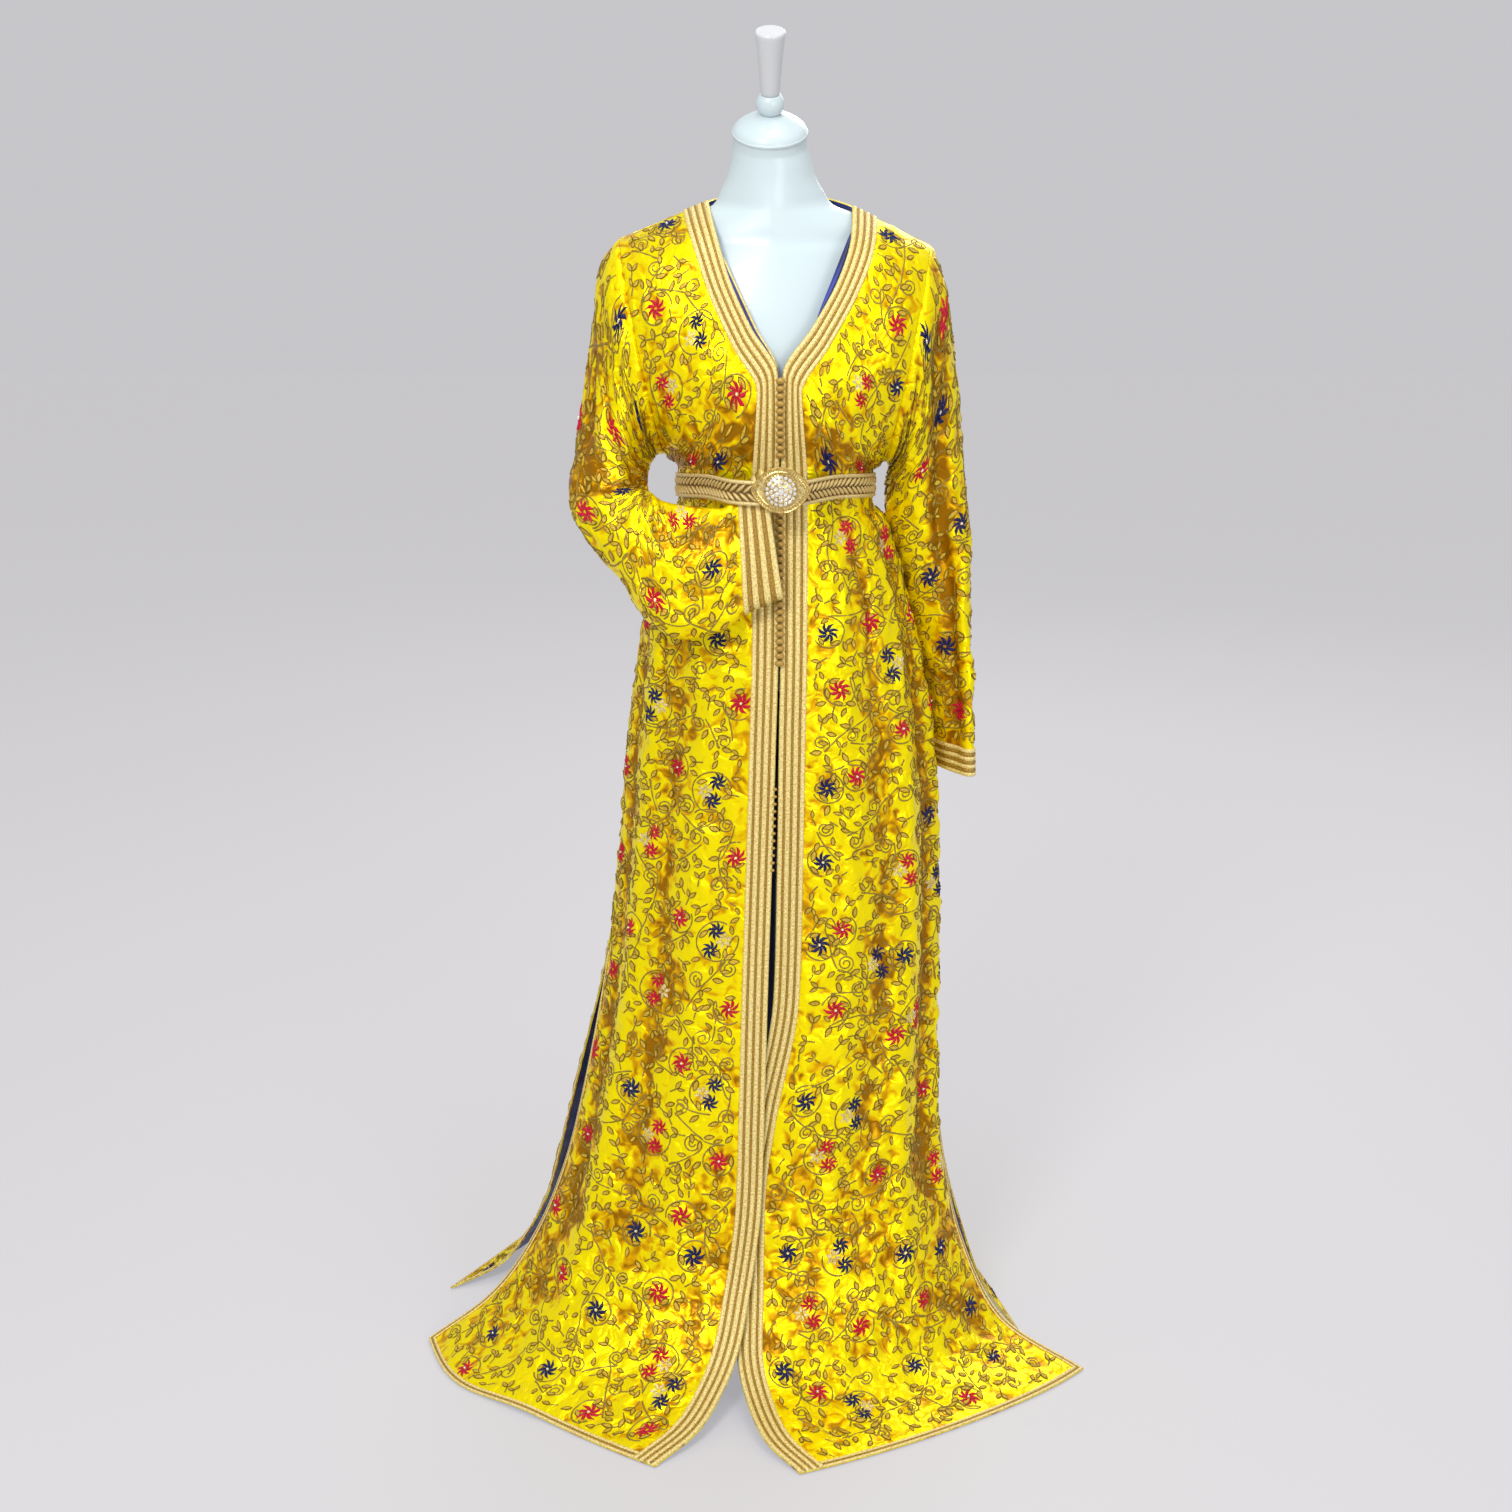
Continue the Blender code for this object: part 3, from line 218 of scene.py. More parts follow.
# Sleeve sections: the edge next to the body, the outer edge, and the half thickness between them
SLEEVE_COLUMNS = ("ring", "ix", "iy", "iz", "ox", "oy", "oz", "half_depth")
SLEEVE = in_metres((1, 2, 3, 4, 5, 6, 7), {
    "right": (
        (0, -128, 0, 1130, -181, 0, 1387, 78), (1, -139, -3, 1129, -200, -2, 1357, 74),
        (2, -143.5, -10, 1126, -213, -8, 1275, 66), (3, -147.5, -23, 1121, -223.5, -24, 1205, 56),
        (4, -150, -44, 1113, -233, -50, 1140, 47), (5, -150.5, -66, 1103, -241, -86, 1093, 42),
        (6, -147.5, -87, 1098, -214, -118, 1045, 39), (7, -140, -105, 1095, -177, -142, 1005, 35),
        (8, -125, -122, 1091, -149, -157, 963, 30), (9, -95, -139, 1089, -105, -168, 938, 22),
        (10, -60, -146, 1088, -55, -169, 952, 15), (11, -35, -147, 1110, -28, -168, 972, 9.5),
        (12, -8, -147, 1136, 14, -167, 990, 6.5),
    ),
    "left": (
        (0, 138, 0, 1120, 190, 0, 1380, 80), (1, 146, 3, 1118, 203, -1, 1355, 77),
        (2, 148, 12, 1113, 214.2, -2, 1295, 70), (3, 148, 24, 1104, 222.5, -3, 1235, 62),
        (4, 147, 36, 1088, 229, -3, 1170, 53), (5, 148, 48, 1045, 236.2, -4, 1090, 44),
        (6, 160, 58, 975, 242.5, -8, 1000, 30), (7, 173, 70, 900, 246.7, -15, 910, 18),
        (8, 187, 76, 820, 251.2, -22, 820, 14), (9, 196, 78, 722, 254.5, -30, 722, 10),
    ),
})
# Long folds of a sleeve: degrees round from its outer edge, half width, height, first and last ring
SLEEVE_FOLD_FADES_OVER = 1.2
SLEEVE_FOLDS = {
    "right": (
        (35, 16, -0.006, 1, 6), (95, 18, 0.005, 1.5, 5.5), (120, 20, -0.005, 6.5, 11.5),
    ),
    "left": (
        (48, 16, -0.01, 1, 9.2), (95, 18, 0.004, 2, 8), (250, 20, -0.006, 1, 9),
    ),
}

# Dress form sections: the higher the ring's power, the fuller its outline
FORM_COLUMNS = ("z", "right", "left", "front", "back", "power")
FORM_SECTION = in_metres((0, 1, 2, 3, 4), (
    (842, 85, 95, 60, 60, 2), (850, 112, 122, 85, 83, 2), (875, 122, 133, 98, 94, 2),
    (980, 117, 127, 107, 93, 2), (1090, 104, 112, 104, 80, 2), (1170, 108, 118, 106, 84, 2),
    (1250, 130, 138, 104, 88, 2), (1300, 146, 152, 90, 84, 2), (1345, 154, 160, 74, 68, 1.8),
    (1378, 160, 164, 61, 50, 1.5), (1393, 158, 156, 55, 42, 1.35), (1408, 126, 129, 52.5, 38, 1.35),
    (1420, 93, 98, 50, 36, 1.4), (1429, 69, 75, 48.2, 35.5, 1.47), (1445, 60, 63.5, 46.2, 36.5, 1.62),
    (1460, 53.5, 55, 45, 38.5, 1.8), (1478, 48.5, 49, 44.7, 40.5, 1.95),
))
NECK_TOP = (-0.001, -0.007, 1.512)
NECK_TOP_RADIUS = 0.0440


# Columns round a sleeve, and how thick a shell of cloth is
SLEEVE_COLUMNS_ROUND = 96
SHELL = 0.0012

# Creases listed one by one: from a place and row to another place and row, half width and height in
# millimetres
CREASES = in_metres((4, 5), {
    "right": (
        (0.2, 1.02, 0.72, 0.9, 14, -4.5), (0.18, 0.86, 0.62, 0.7, 26, 6), (0.78, 0.98, 0.62, 1.55, 8, -3.5),
        (0.62, 0.62, 0.86, 0.96, 10, -4), (0.5, 0.8, 0.74, 1.3, 7, 2.2), (0.3, 1.25, 0.36, 1.8, 6, 2.4),
        (0.44, 1.2, 0.47, 1.8, 5, -2.6), (0.58, 1.3, 0.58, 1.82, 5, 2.4), (0.24, 2.25, 0.26, 3.2, 6, -3.4),
        (0.36, 2.22, 0.34, 3.6, 7, 4), (0.56, 2.22, 0.52, 3.8, 6, -4.2), (0.7, 2.22, 0.7, 3.4, 6, 3.6),
        (0.86, 2.22, 0.88, 4.2, 7, -3.8), (0.36, 4.4, 0.52, 5, 9, 2.8), (0.42, 5.6, 0.3, 6.3, 8, -2.6),
        (0.3, 7.4, 0.62, 8.1, 13, 4), (0.52, 8.2, 0.84, 8.9, 12, -4), (0.25, 8.9, 0.58, 9.5, 16, 5),
        (0.6, 9.3, 0.92, 10.2, 14, -4.6), (0.34, 9.9, 0.74, 10.6, 16, 4.6),
    ),
    "left": (
        (0.2, 1.02, 0.74, 0.9, 14, -4.5), (0.16, 0.86, 0.6, 0.72, 26, 6), (0.8, 0.98, 0.6, 1.5, 8, -3.6),
        (0.6, 0.6, 0.84, 0.94, 10, -3.8), (0.46, 0.84, 0.7, 1.25, 7, 2.4), (0.26, 1.25, 0.31, 1.8, 5, -2.4),
        (0.4, 1.22, 0.42, 1.82, 6, 2.6), (0.56, 1.3, 0.55, 1.8, 5, -2.6), (0.25, 2.25, 0.24, 3.3, 6, 3),
        (0.38, 2.22, 0.35, 3.7, 6, -4), (0.52, 2.22, 0.54, 3.9, 7, 4), (0.68, 2.22, 0.7, 4.4, 7, -4.4),
        (0.84, 2.22, 0.86, 3.8, 6, 3.6), (0.3, 4.6, 0.48, 5.2, 9, 2.8), (0.56, 5.5, 0.4, 6.2, 8, -2.8),
        (0.28, 7.1, 0.56, 7.8, 12, 3.6), (0.6, 7.8, 0.84, 8.6, 12, -4), (0.26, 8.8, 0.54, 9.4, 15, 4.8),
        (0.58, 9.3, 0.9, 10.1, 13, -4.4), (0.3, 9.9, 0.68, 10.6, 16, 4.6),
    ),
    "back": (
        (-0.8, 0.92, -0.5, 1.4, 10, -3.6), (0.78, 0.9, 0.48, 1.36, 10, -3.6),
        (-0.3, 0.5, -0.14, 1.1, 14, 3), (0.34, 0.46, 0.18, 1.05, 14, 3), (-0.66, 2.22, -0.68, 3.6, 7, 4),
        (-0.46, 2.22, -0.44, 3.9, 7, -4.4), (-0.22, 2.22, -0.24, 3.5, 7, 4), (0.02, 2.22, 0, 3.9, 7, -4),
        (0.24, 2.22, 0.22, 3.6, 7, 4.2), (0.46, 2.22, 0.48, 3.9, 7, -4.2), (0.68, 2.22, 0.66, 3.5, 7, 3.8),
        (-0.5, 4.6, -0.34, 5.3, 10, 3), (0.42, 4.4, 0.26, 5.2, 10, 3), (-0.16, 6.1, 0.06, 6.8, 11, -3.4),
        (-0.6, 7.4, -0.34, 8.2, 13, 4), (0.56, 7.2, 0.3, 8.1, 13, 4), (-0.22, 8.6, 0.1, 9.3, 16, -4.6),
        (0.3, 9.1, 0.62, 9.8, 16, 4.6), (-0.7, 9.2, -0.36, 9.9, 16, 4.6),
    ),
})
# On the sleeves a place is in turns round from the outer edge: -0.25 is behind and 0.25 in front
SLEEVE_CREASES = in_metres((4, 5), {
    "right": (
        (0.02, 1.2, 0.2, 3.6, 9, 3.4), (0.1, 1.6, 0.34, 4.2, 8, -4), (0.24, 0.9, 0.4, 2.6, 10, -4),
        (0.16, 3.2, 0.3, 5, 9, 3.4), (-0.1, 2, -0.24, 4.2, 10, 3.4), (-0.2, 1, -0.34, 2.8, 10, -3.6),
        (0.38, 4.4, 0.3, 6.4, 7, 3), (0.14, 5.4, 0.22, 7.4, 8, -3), (0.3, 6.4, 0.24, 9.2, 8, 3.2),
        (0.14, 7.6, 0.2, 10.2, 7, -2.8), (0.06, 6.6, 0.1, 9.6, 8, 3), (0, 5.1, 0.46, 5, 7, -8.5),
        (0.02, 5.6, 0.44, 5.6, 10, 5),
    ),
    "left": (
        (0.04, 1, 0.16, 3.4, 9, 3.6), (0.22, 0.8, 0.38, 2.6, 10, -4), (0.2, 2.4, 0.24, 5.2, 7, -3.4),
        (0.28, 3.4, 0.26, 7, 7, 3.4), (0.06, 3.6, 0.08, 6.6, 7, -3.2), (0.02, 5.4, 0.04, 8.4, 6, 2.8),
        (0.3, 6.6, 0.26, 8.7, 5, -2.4), (-0.12, 1.6, -0.22, 4.4, 10, 3.4), (-0.28, 3, -0.26, 6.4, 8, -3.2),
        (-0.1, 5, -0.12, 8.2, 6, 2.8),
    ),
})
CRUMPLE_LAYERS = ((0.036, 0.0020), (0.018, 0.0015))
CRUMPLE_FADES_OVER = 0.006
SEAM_BLEND = 0.030
# Rows where shade is painted into the cloth's colour: between bust and belt, above the flare and on it; how
# much lower it counts. The chest's row counts higher, a painted light.
SHADED_ROWS = ((-1.0, 0.95, -0.0004), (1.04, 1.88, 0.0064), (2.6, 7.3, 0.0006), (7.2, 9.8, 0.0025))
# Rise at which the satin's painted shade in hollows and painted light on ridges show in full.
RISE_SHOWN = 0.003
# The chest is stretched smoother than the cloth below it
CHEST_CRUMPLES = 0.45
# Rings of the right sleeve in shade above the forearm's fold, and how much lower they count
ELBOW_SHADE = (2.8, 5.1, 0.0060)


def hex_colour(code):
    """Linear colour of a plain hex code."""
    channels = [int(code[i:i + 2], 16) / 255 for i in (1, 3, 5)]
    linear = [c / 12.92 if c <= 0.04045 else ((c + 0.055) / 1.055) ** 2.4 for c in channels]
    return (*linear, 1.0)


def column(rows, names, name, at):
    """Smooth values of a table's column at row numbers."""
    steps = np.array([row[0] for row in rows], float)
    values = np.array([row[names.index(name)] for row in rows], float)
    rises = np.diff(values) / np.diff(steps)
    slopes = np.gradient(values, steps)
    level = rises[:-1] * rises[1:] <= 0
    slopes[1:-1][level] = 0.0
    limit = 2.0 * np.minimum(np.abs(rises[:-1]), np.abs(rises[1:]))
    slopes[1:-1] = np.clip(slopes[1:-1], -limit, limit)
    at = np.clip(at, steps[0], steps[-1])
    i = np.clip(np.searchsorted(steps, at, side="right") - 1, 0, len(steps) - 2)
    span = steps[i + 1] - steps[i]
    t = (at - steps[i]) / span
    ease_in = t * (1 - t) ** 2 * span * slopes[i]
    ease_out = -(t ** 2) * (1 - t) * span * slopes[i + 1]
    blend = t * t * (3 - 2 * t)
    return values[i] * (1 - blend) + values[i + 1] * blend + ease_in + ease_out


def run_along(points):
    """Metres run along a line of points."""
    return np.concatenate(([0.0], np.cumsum(np.linalg.norm(np.diff(points, axis=0), axis=1))))


def at_level(line, z, axes=(0, 1, 2)):
    """Where a line that runs downwards has a height."""
    return [np.interp(-z, -line[:, 2], line[:, axis]) for axis in axes]


def edge_point(rows, at):
    return np.stack([column(rows, EDGE_COLUMNS, axis, at) for axis in "xyz"], axis=-1)


def smooth_step(t):
    t = np.clip(t, 0.0, 1.0)
    return t * t * (3 - 2 * t)


def lens_depth(angle):
    """Depth of a sleeve's section: round towards its outer edge, pinched towards its inner fold."""
    reach = np.sin(angle)
    power = np.where(np.cos(angle) > 0, 1.0, UNDERARM_PINCH)
    return np.sign(reach) * np.abs(reach) ** power


def armhole_point(side, share, sign):
    """Point on the armhole: share 0 at the shoulder, 1 under the arm; sign -1 in front, 1 behind."""
    top = np.array(SHOULDER_POINT[side])
    low = np.array(UNDERARM_POINT[side])
    share = np.asarray(share, float)
    point = (top + low) / 2 + (top - low) / 2 * np.cos(np.pi * share)[..., None]
    point[..., 1] += sign * ARMHOLE_HALF_DEPTH[side] * lens_depth(np.pi * share)
    return point


def side_point(side, table, row, sign):
    """Side edge of a panel: the armhole down to row 1, then the table's edge."""
    hole = armhole_point(side, np.minimum(row, 1.0), sign)
    return np.where((row <= 1)[..., None], hole, edge_point(table, row))


def front_point(side, place, row):
    """Point on a front: place 0 at its centre edge and 1 at its side."""
    centre = edge_point(FRONT_CENTRE_EDGE[side], row)
    outer = side_point(side, FRONT_SIDE_EDGE[side], row, -1)
    turn = np.radians(column(FRONT_SECTION, SECTION_COLUMNS, "turn", row))
    crown = column(FRONT_SECTION, SECTION_COLUMNS, "crown", row)
    straight = column(FRONT_SECTION, SECTION_COLUMNS, "straight", row)
    across = np.sin(place * turn) / np.sin(turn)
    forward = (np.cos(place * turn) - np.cos(turn)) / (1 - np.cos(turn))
    forward = forward + (1 - place - forward) * straight
    point = centre + (outer - centre) * across[..., None]
    stand = crown * np.sin(np.pi * place)
    point[..., 1] = outer[..., 1] + (centre[..., 1] - outer[..., 1]) * forward - stand
    swell = HEM_SWELL[side] * smooth_step((row - HEM_SWELL_FROM_ROW) / (LAST_ROW - HEM_SWELL_FROM_ROW))
    point[..., 1] -= swell * np.sin(np.pi * place ** 4)
    return point


def back_edge_point(side, row):
    upper = side_point(side, FRONT_SIDE_EDGE[side], row, 1)
    return np.where((row <= 5.5)[..., None], upper, edge_point(BACK_SLIT_EDGE[side], row))


def back_top_point(place):
    """Shoulder seams and back neckline: place -1 at the right shoulder, 1 at the left."""
    share = ((np.abs(place) - NECK_PLACE) / (1 - NECK_PLACE))[..., None]
    left = np.array(NECK_POINT["left"]) * (1 - share) + np.array(SHOULDER_POINT["left"]) * share
    right = np.array(NECK_POINT["right"]) * (1 - share) + np.array(SHOULDER_POINT["right"]) * share
    shoulder = np.where((place > 0)[..., None], left, right)
    t = np.clip(place / NECK_PLACE / 2 + 0.5, 0.0, 1.0)
    round_back = np.sin(np.pi * t)
    neck = np.array(NECK_POINT["right"]) * (1 - t[..., None]) + np.array(NECK_POINT["left"]) * t[..., None]
    neck[..., 1] += NECK_BACK_DEPTH * round_back ** 0.6
    neck[..., 2] += NECK_BACK_RISE * round_back
    return np.where((np.abs(place) > NECK_PLACE)[..., None], shoulder, neck)


def back_row_point(place, row):
    right = back_edge_point("right", row)
    left = back_edge_point("left", row)
    angle = place * np.pi / 2
    point = right + (left - right) * ((np.sin(angle) + 1) / 2)[..., None]
    middle = (right + left) / 2
    centre_y = column(BACK_CENTRE, BACK_CENTRE_COLUMNS, "y", row)
    centre_z = column(BACK_CENTRE, BACK_CENTRE_COLUMNS, "z", row)
    point[..., 1] += (centre_y - middle[..., 1]) * np.cos(angle)
    point[..., 2] += (centre_z - middle[..., 2]) * np.cos(angle) ** 2
    return point


def back_point(place, row):
    """Point on the back: place -1 at the right side, 1 at the left."""
    point = back_row_point(place, row)
    shaping = (1 - smooth_step(row / 0.8))[..., None]
    point = point + (back_top_point(place) - back_row_point(place, np.zeros_like(row))) * shaping
    drag = np.clip((row - CORNER_DRAG_FROM_ROW) / (LAST_ROW - CORNER_DRAG_FROM_ROW), 0, 1) ** 1.6
    near = np.clip((np.abs(place) - CORNER_DRAG_FROM_PLACE) / (1 - CORNER_DRAG_FROM_PLACE), 0, 1) ** 2
    pull = np.where((place > 0)[..., None], CORNER_DRAG["left"], CORNER_DRAG["right"])
    point[..., 1] += SEAM_GAP * 2
    return point + pull * (drag * near)[..., None]


def sleeve_point(side, place, ring):
    """Point on a sleeve: place 0 at its outer edge, 0.25 in front, -0.25 behind, 0.5 next to the body."""
    names = ("ix", "iy", "iz", "ox", "oy", "oz", "half_depth")
    ix, iy, iz, ox, oy, oz, depth = [column(SLEEVE[side], SLEEVE_COLUMNS, name, ring) for name in names]
    inner = np.stack([ix, iy, iz], axis=-1)
    outer = np.stack([ox, oy, oz], axis=-1)
    width = (outer - inner) / 2
    forward = np.zeros_like(width)
    forward[..., 1] = -1.0
    forward = forward - width * ((forward * width).sum(-1) / (width * width).sum(-1))[..., None]
    forward /= np.linalg.norm(forward, axis=-1, keepdims=True)
    angle = 2 * np.pi * place
    reach = depth * lens_depth(angle)
    return (inner + outer) / 2 + width * np.cos(angle)[..., None] + forward * reach[..., None]


def fold_heights(folds, place, row):
    """Height of the hanging folds at places and rows."""
    height = np.zeros(np.broadcast(place, row).shape)
    for middle, half_width, rise, first, last in folds:
        grow = smooth_step((row - first) / FOLD_GROWS_OVER) * smooth_step((last - row) / FOLD_ENDS_OVER)
        height += rise * grow * np.exp(-(((place - middle) / half_width) ** 2))
    return height


def sleeve_fold_heights(side, place, ring):
    height = np.zeros(np.broadcast(place, ring).shape)
    for middle, half_width, rise, first, last in SLEEVE_FOLDS[side]:
        away = (place * 360 - middle + 180) % 360 - 180
        grow = smooth_step((ring - first) / SLEEVE_FOLD_FADES_OVER)
        grow = grow * smooth_step((last - ring) / SLEEVE_FOLD_FADES_OVER)
        height += rise * grow * np.exp(-((away / half_width) ** 2))
    return height


def crease_heights(creases, places, rows, across, down):
    """Height of the listed creases, each a soft ridge or trough about a line across the cloth."""
    height = np.zeros_like(across)
    for place_a, row_a, place_b, row_b, half_width, rise in creases:
        ends = []
        for place, row in ((place_a, row_a), (place_b, row_b)):
            r = int(np.argmin(np.abs(rows - row)))
            ends.append((np.interp(place, places[r], across[r]), down[r]))
        (ua, va), (ub, vb) = ends
        run = np.array([ub - ua, vb - va])
        length = np.hypot(*run)
        along = ((across - ua) * run[0] + (down[:, None] - va) * run[1]) / length ** 2
        aside = ((across - ua) * run[1] - (down[:, None] - va) * run[0]) / length
        bend = 0.12 * length * np.sin(np.pi * np.clip(along, 0, 1))
        inside = np.sin(np.pi * np.clip(along * 0.8 + 0.1, 0, 1)) ** 1.5 * (np.abs(along - 0.5) < 0.62)
        height += rise * inside * np.exp(-(((aside - bend) / half_width) ** 2))
    return height


def soft_noise(u, v, cell, seed):
    """Seeded smooth noise from -1 to 1 on a lattice of that cell size in metres."""
    lattice = np.random.default_rng(seed).random((97, 97)) * 2 - 1
    x = u / cell + 31.7
    y = v / cell + 11.3
    i = np.floor(x).astype(int)
    j = np.floor(y).astype(int)
    a = smooth_step(x - i)
    b = smooth_step(y - j)
    corner = [lattice[(i + p) % 97, (j + q) % 97] for p, q in ((0, 0), (1, 0), (0, 1), (1, 1))]
    return (corner[0] * (1 - a) + corner[1] * a) * (1 - b) + (corner[2] * (1 - a) + corner[3] * a) * b


def crumple_heights(u, v, seed):
    """Small crumples of thin satin pulled by its embroidery: soft bumps with sharper creases between."""
    height = np.zeros_like(u)
    warp = soft_noise(u, v, 0.05, seed + 50) * 0.012
    for k, (cell, rise) in enumerate(CRUMPLE_LAYERS):
        lean = u * 0.35 if k == 0 else -u * 0.5
        wave = soft_noise(u + warp, (v + lean) * 1.35 - warp, cell, seed + k)
        height += rise * (1 - 2 * np.abs(wave) ** 0.8)
    return height


def grid_normals(grid, closed, turned):
    """Unit normals of a grid whose rows run down the cloth; a closed grid repeats its first column last."""
    down = np.gradient(grid, axis=0)
    across = np.gradient(grid, axis=1)
    if closed:
        seam = grid[:, 1] - grid[:, -2]
        across[:, 0] = seam / 2
        across[:, -1] = seam / 2
    normal = np.cross(down, across)
    normal /= np.linalg.norm(normal, axis=2, keepdims=True)
    return -normal if turned else normal


class Cloth:
    """A laid piece of cloth: outer points, normals, metres across and down it, and its rise, which paints
    shade into its hollows and light onto its ridges in the satin's colour.
    """

    def __init__(self, outer, rise, rows, across, down, closed, turned):
        self.outer = outer
        self.rise = rise
        self.rows = rows
        self.across = across
        self.down = down
        self.closed = closed
        self.turned = turned
        self.normals = grid_normals(outer, closed, turned)

    def down_at_row(self, row):
        return np.interp(row, self.rows, self.down)

    def edges(self, v):
        """Metres across at the two edges, at metres down."""
        return np.interp(v, self.down, self.across[:, 0]), np.interp(v, self.down, self.across[:, -1])

    def spot(self, u, v):
        """Row and column positions on the grid."""
        r = np.interp(v, self.down, np.arange(len(self.down)))
        first, last = self.edges(v)
        c = (u - first) / (last - first) * (self.outer.shape[1] - 1)
        if self.closed:
            c = c % (self.outer.shape[1] - 1)
        return r, np.clip(c, 0, self.outer.shape[1] - 1)

    def blend(self, values, u, v):
        r, c = self.spot(u, v)
        i = np.clip(r.astype(int), 0, len(self.down) - 2)
        j = np.clip(c.astype(int), 0, self.outer.shape[1] - 2)
        a = (r - i)[..., None]
        b = (c - j)[..., None]
        upper = values[i, j] * (1 - b) + values[i, j + 1] * b
        lower = values[i + 1, j] * (1 - b) + values[i + 1, j + 1] * b
        return upper * (1 - a) + lower * a

    def at(self, u, v, lift=0.0):
        """Points on the cloth's face, lifted off it."""
        u, v = np.broadcast_arrays(np.asarray(u, float), np.asarray(v, float))
        normal = self.normal(u, v)
        return self.blend(self.outer, u, v) + normal * np.asarray(lift)[..., None]

    def normal(self, u, v):
        normal = self.blend(self.normals, u, v)
        return normal / np.linalg.norm(normal, axis=-1, keepdims=True)

    def nearest(self, x, z):
        """Metres across and down of the visible point nearest to a place seen from the front."""
        away = (self.outer[:, :, 0] - x) ** 2 + (self.outer[:, :, 2] - z) ** 2
        away = away + (self.normals[:, :, 1] > 0)
        r, c = np.unravel_index(np.argmin(away), away.shape)
        return self.across[r, c], self.down[r]


def even_rows(line, last, step):
    """Row numbers an even step apart along a line down the cloth."""
    rows = np.linspace(0, last, 900)
    runs = run_along(line(rows))
    down = np.linspace(0, runs[-1], int(round(runs[-1] / step)) + 1)
    return np.interp(down, runs, rows), down


def even_places(point, rows, low, high, count):
    """Places across each row that are evenly far apart, and how far across they lie."""
    tries = np.linspace(low, high, 121)
    grid = point(tries[None, :], rows[:, None])
    steps = np.linalg.norm(np.diff(grid, axis=1), axis=2)
    runs = np.concatenate((np.zeros((len(rows), 1)), np.cumsum(steps, axis=1)), axis=1)
    shares = np.linspace(0, 1, count)
    places = np.array([np.interp(shares * run[-1], run, tries) for run in runs])
    return places, shares[None, :] * runs[:, -1:]


def edge_fade(distance):
    return smooth_step(distance / CRUMPLE_FADES_OVER)


def belt_fade(rows):
    """Nothing crumples outwards under the belt."""
    return smooth_step((np.abs(rows - WAIST_ROW) - 0.12) / 0.3)


def lay_panel(point, folds, creases, step, low, turned, seed):
    """The cloth of a front or the back, with its folds, creases and crumples."""
    rows, down = even_rows(lambda row: point(np.full_like(row, (1 + low) / 2 + 0.01), row), LAST_ROW, step)
    wide = 0.42 if low == 0 else 0.78
    places, across = even_places(point, rows, low, 1.0, int(wide / step) + 1)
    grid = point(places, rows[:, None])
    normals = grid_normals(grid, False, turned)
    heights = fold_heights(folds, places, rows[:, None])
    width = across[:, -1:]
    inward = across if low == 0 else np.minimum(across, width - across) + BAND_WIDTH
    slit_band = EDGE_BAND_WIDTH * smooth_step((rows[:, None] - SLIT_ROW + 0.3) / 0.3)
    fade = edge_fade(inward - BAND_WIDTH) * edge_fade(width - across - slit_band)
    fade = fade * edge_fade(down[-1] - EDGE_BAND_WIDTH - down)[:, None]
    fade = fade * belt_fade(rows)[:, None]
    if low < 0:
        across = across - width / 2
        fade = fade * edge_fade(down - BAND_WIDTH)[:, None]
    fine = crease_heights(creases, places, rows, across, down)
    fine += crumple_heights(across, down[:, None] + 0 * across, seed)
    fine *= (CHEST_CRUMPLES + (1 - CHEST_CRUMPLES) * smooth_step((rows - 0.75) / 0.5))[:, None]
    grid = grid + normals * (heights + fine * fade + CLOTH)[:, :, None]
    grid[:, :, 2] = np.maximum(grid[:, :, 2], CLOTH)
    # The rise paints the satin's colour: painted shade in the hollows of folds, creases and crumples and in
    # the shaded rows, painted light on their ridges and on the chest.
    rise = heights * 0.7 + fine * fade
    for first, last, lower in SHADED_ROWS:
        shade = smooth_step((rows - first) / 0.14) * smooth_step((last - rows) / 0.3)
        rise = rise - (lower * shade)[:, None]
    return Cloth(grid, rise, rows, across, down, False, turned)


